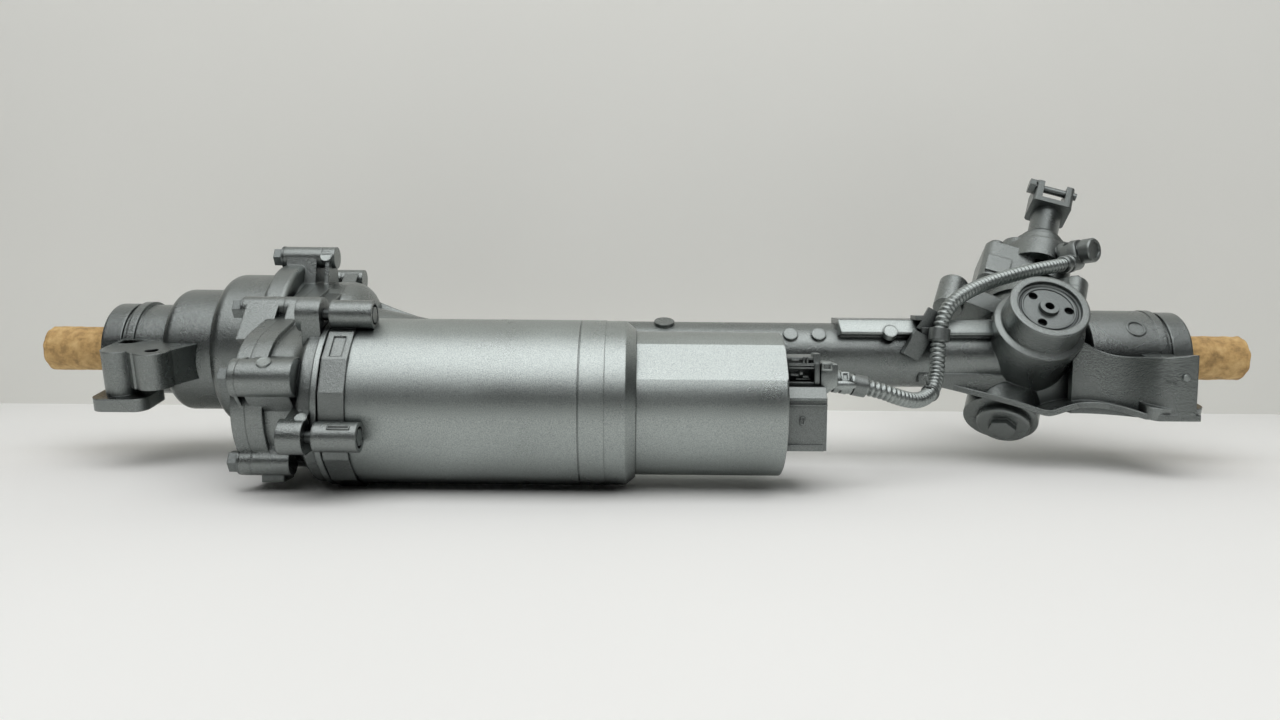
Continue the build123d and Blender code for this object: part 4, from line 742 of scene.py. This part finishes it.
def makeConnectorRibs():
    bm = bmesh.new()
    for size, spot in connectorRibs["ribs"]:
        pad(bm, size, spot, corner=0.3)
    pad(bm, *connectorRibs["window"], corner=0.3, dish=0.8, rim=0.6)
    finishPiece(bm, "powerConnectorRibs", "sprayedPlastic")


makeCastDiscs()
makeLedgeSlope()
makePlugRing()
makeLugSlot()
makeConnectorRibs()

# The tie that holds the conduit at its lowest bend, with its cut tail.
cableTie = {
    "crossesAt": 184.0,
    "band": [(4.6, -1.3), (5.7, -1.3), (5.9, -1.0), (5.9, 1.0), (5.7, 1.3), (4.6, 1.3)],
    "bandSteps": 32,
    "head": (3.2, 4.0, 3.0),
    "headLift": 6.2,
    "tail": (2.2, 1.1, 9.5),
    "tailLift": 11,
    "tailWay": (-0.35, -0.5, 0.79),
}


def makeCableTie():
    bm = bmesh.new()
    near = min(range(1, len(conduitLine) - 1),
               key=lambda index: abs((conduitLine[index] - rackAxis).x * 1000 - cableTie["crossesAt"]))
    spot = (conduitLine[near] - rackAxis) * 1000
    way = conduitLine[near + 1] - conduitLine[near - 1]
    turned(bm, cableTie["band"], spot, way, cableTie["bandSteps"], closed=True)
    lift = Vector(cableTie["tailWay"]).normalized()
    pad(bm, cableTie["head"], spot + lift * cableTie["headLift"], cableTie["tailWay"], corner=0.5)
    pad(bm, cableTie["tail"], spot + lift * cableTie["tailLift"], cableTie["tailWay"], corner=0.3)
    finishPiece(bm, "cableTie", "sprayedPlastic")


makeCableTie()
print("small cast and moulded forms made")


# A pale table, and a pale wall that stands on it behind the part, under one large softbox.
studio = {
    "wallBehind": 0.275,
    "reach": 3.0,
    "wallHeight": 2.2,
    "tableTones": ("#EFEFED", "#F3F3F1"),
    "wallTones": ("#EEEEE9", "#F4F4EF"),
    "softboxSpot": (0.0, -0.7, 1.3),
    "softboxTarget": (0.0, -0.35, 0.0),
    "softboxSize": (2.0, 1.7),
    "softboxPower": 23,
    "roomTone": "#9C9F9F",
    "roomStrength": 0.09,
}


# Matt card, slightly mottled.
def makeSheet(name, corners, tones, front):
    bm = bmesh.new()
    bmesh.ops.create_grid(bm, x_segments=1, y_segments=1, size=1)
    for vert, corner in zip(sorted(bm.verts, key=lambda v: (v.co.y, v.co.x)), corners):
        vert.co = corner
    piece = finishMesh(bm, name, smooth=False)
    material, tree, shader, where = newMaterial(name + "Card")
    mottle = addNode(tree, "ShaderNodeTexNoise", None, {"Scale": 3.0, "Detail": 2.0}, {"Vector": where})
    tint = addNode(tree, "ShaderNodeValToRGB", None, None, {"Fac": mottle.outputs["Fac"]})
    setRamp(tint, [(0.2, tones[0]), (0.8, tones[1])])
    tree.links.new(tint.outputs["Color"], shader.inputs["Base Color"])
    shader.inputs["Roughness"].default_value = 0.8
    # the card has one side only, so it hides nothing from behind or below it
    side = addNode(tree, "ShaderNodeNewGeometry").outputs["Backfacing"]
    clear = addNode(tree, "ShaderNodeBsdfTransparent")
    either = addNode(tree, "ShaderNodeMixShader", None, None, {"Fac": side})
    surface = shader.outputs["BSDF"].links[0].to_socket
    tree.links.new(shader.outputs["BSDF"], either.inputs[1])
    tree.links.new(clear.outputs["BSDF"], either.inputs[2])
    tree.links.new(either.outputs["Shader"], surface)
    if piece.data.polygons[0].normal.dot(Vector(front)) < 0:
        piece.data.flip_normals()
    piece.data.materials.append(material)
    return piece


reach, wall, top = studio["reach"], studio["wallBehind"], studio["wallHeight"]
makeSheet("tableTop", [(-reach, -reach, 0), (reach, -reach, 0), (-reach, reach, 0), (reach, reach, 0)],
          studio["tableTones"], (0, 0, 1))
makeSheet("backWall", [(-reach, wall, 0), (reach, wall, 0), (-reach, wall, top), (reach, wall, top)],
          studio["wallTones"], (0, -1, 0))


def addSoftbox(name, spot, target, size, power):
    data = bpy.data.lights.new(name, "AREA")
    data.shape = "RECTANGLE"
    data.size, data.size_y = size
    data.energy = power
    light = bpy.data.objects.new(name, data)
    bpy.context.scene.collection.objects.link(light)
    light.location = spot
    light.rotation_euler = (Vector(target) - Vector(spot)).to_track_quat("-Z", "Y").to_euler()


addSoftbox("overheadSoftbox", studio["softboxSpot"], studio["softboxTarget"], studio["softboxSize"],
           studio["softboxPower"])
world = bpy.data.worlds.new("room")
bpy.context.scene.world = world
world.use_nodes = True
background = world.node_tree.nodes["Background"]
background.inputs["Color"].default_value = colour(studio["roomTone"])
background.inputs["Strength"].default_value = studio["roomStrength"]
bpy.context.scene.view_settings.view_transform = "Standard"
print("studio lit")
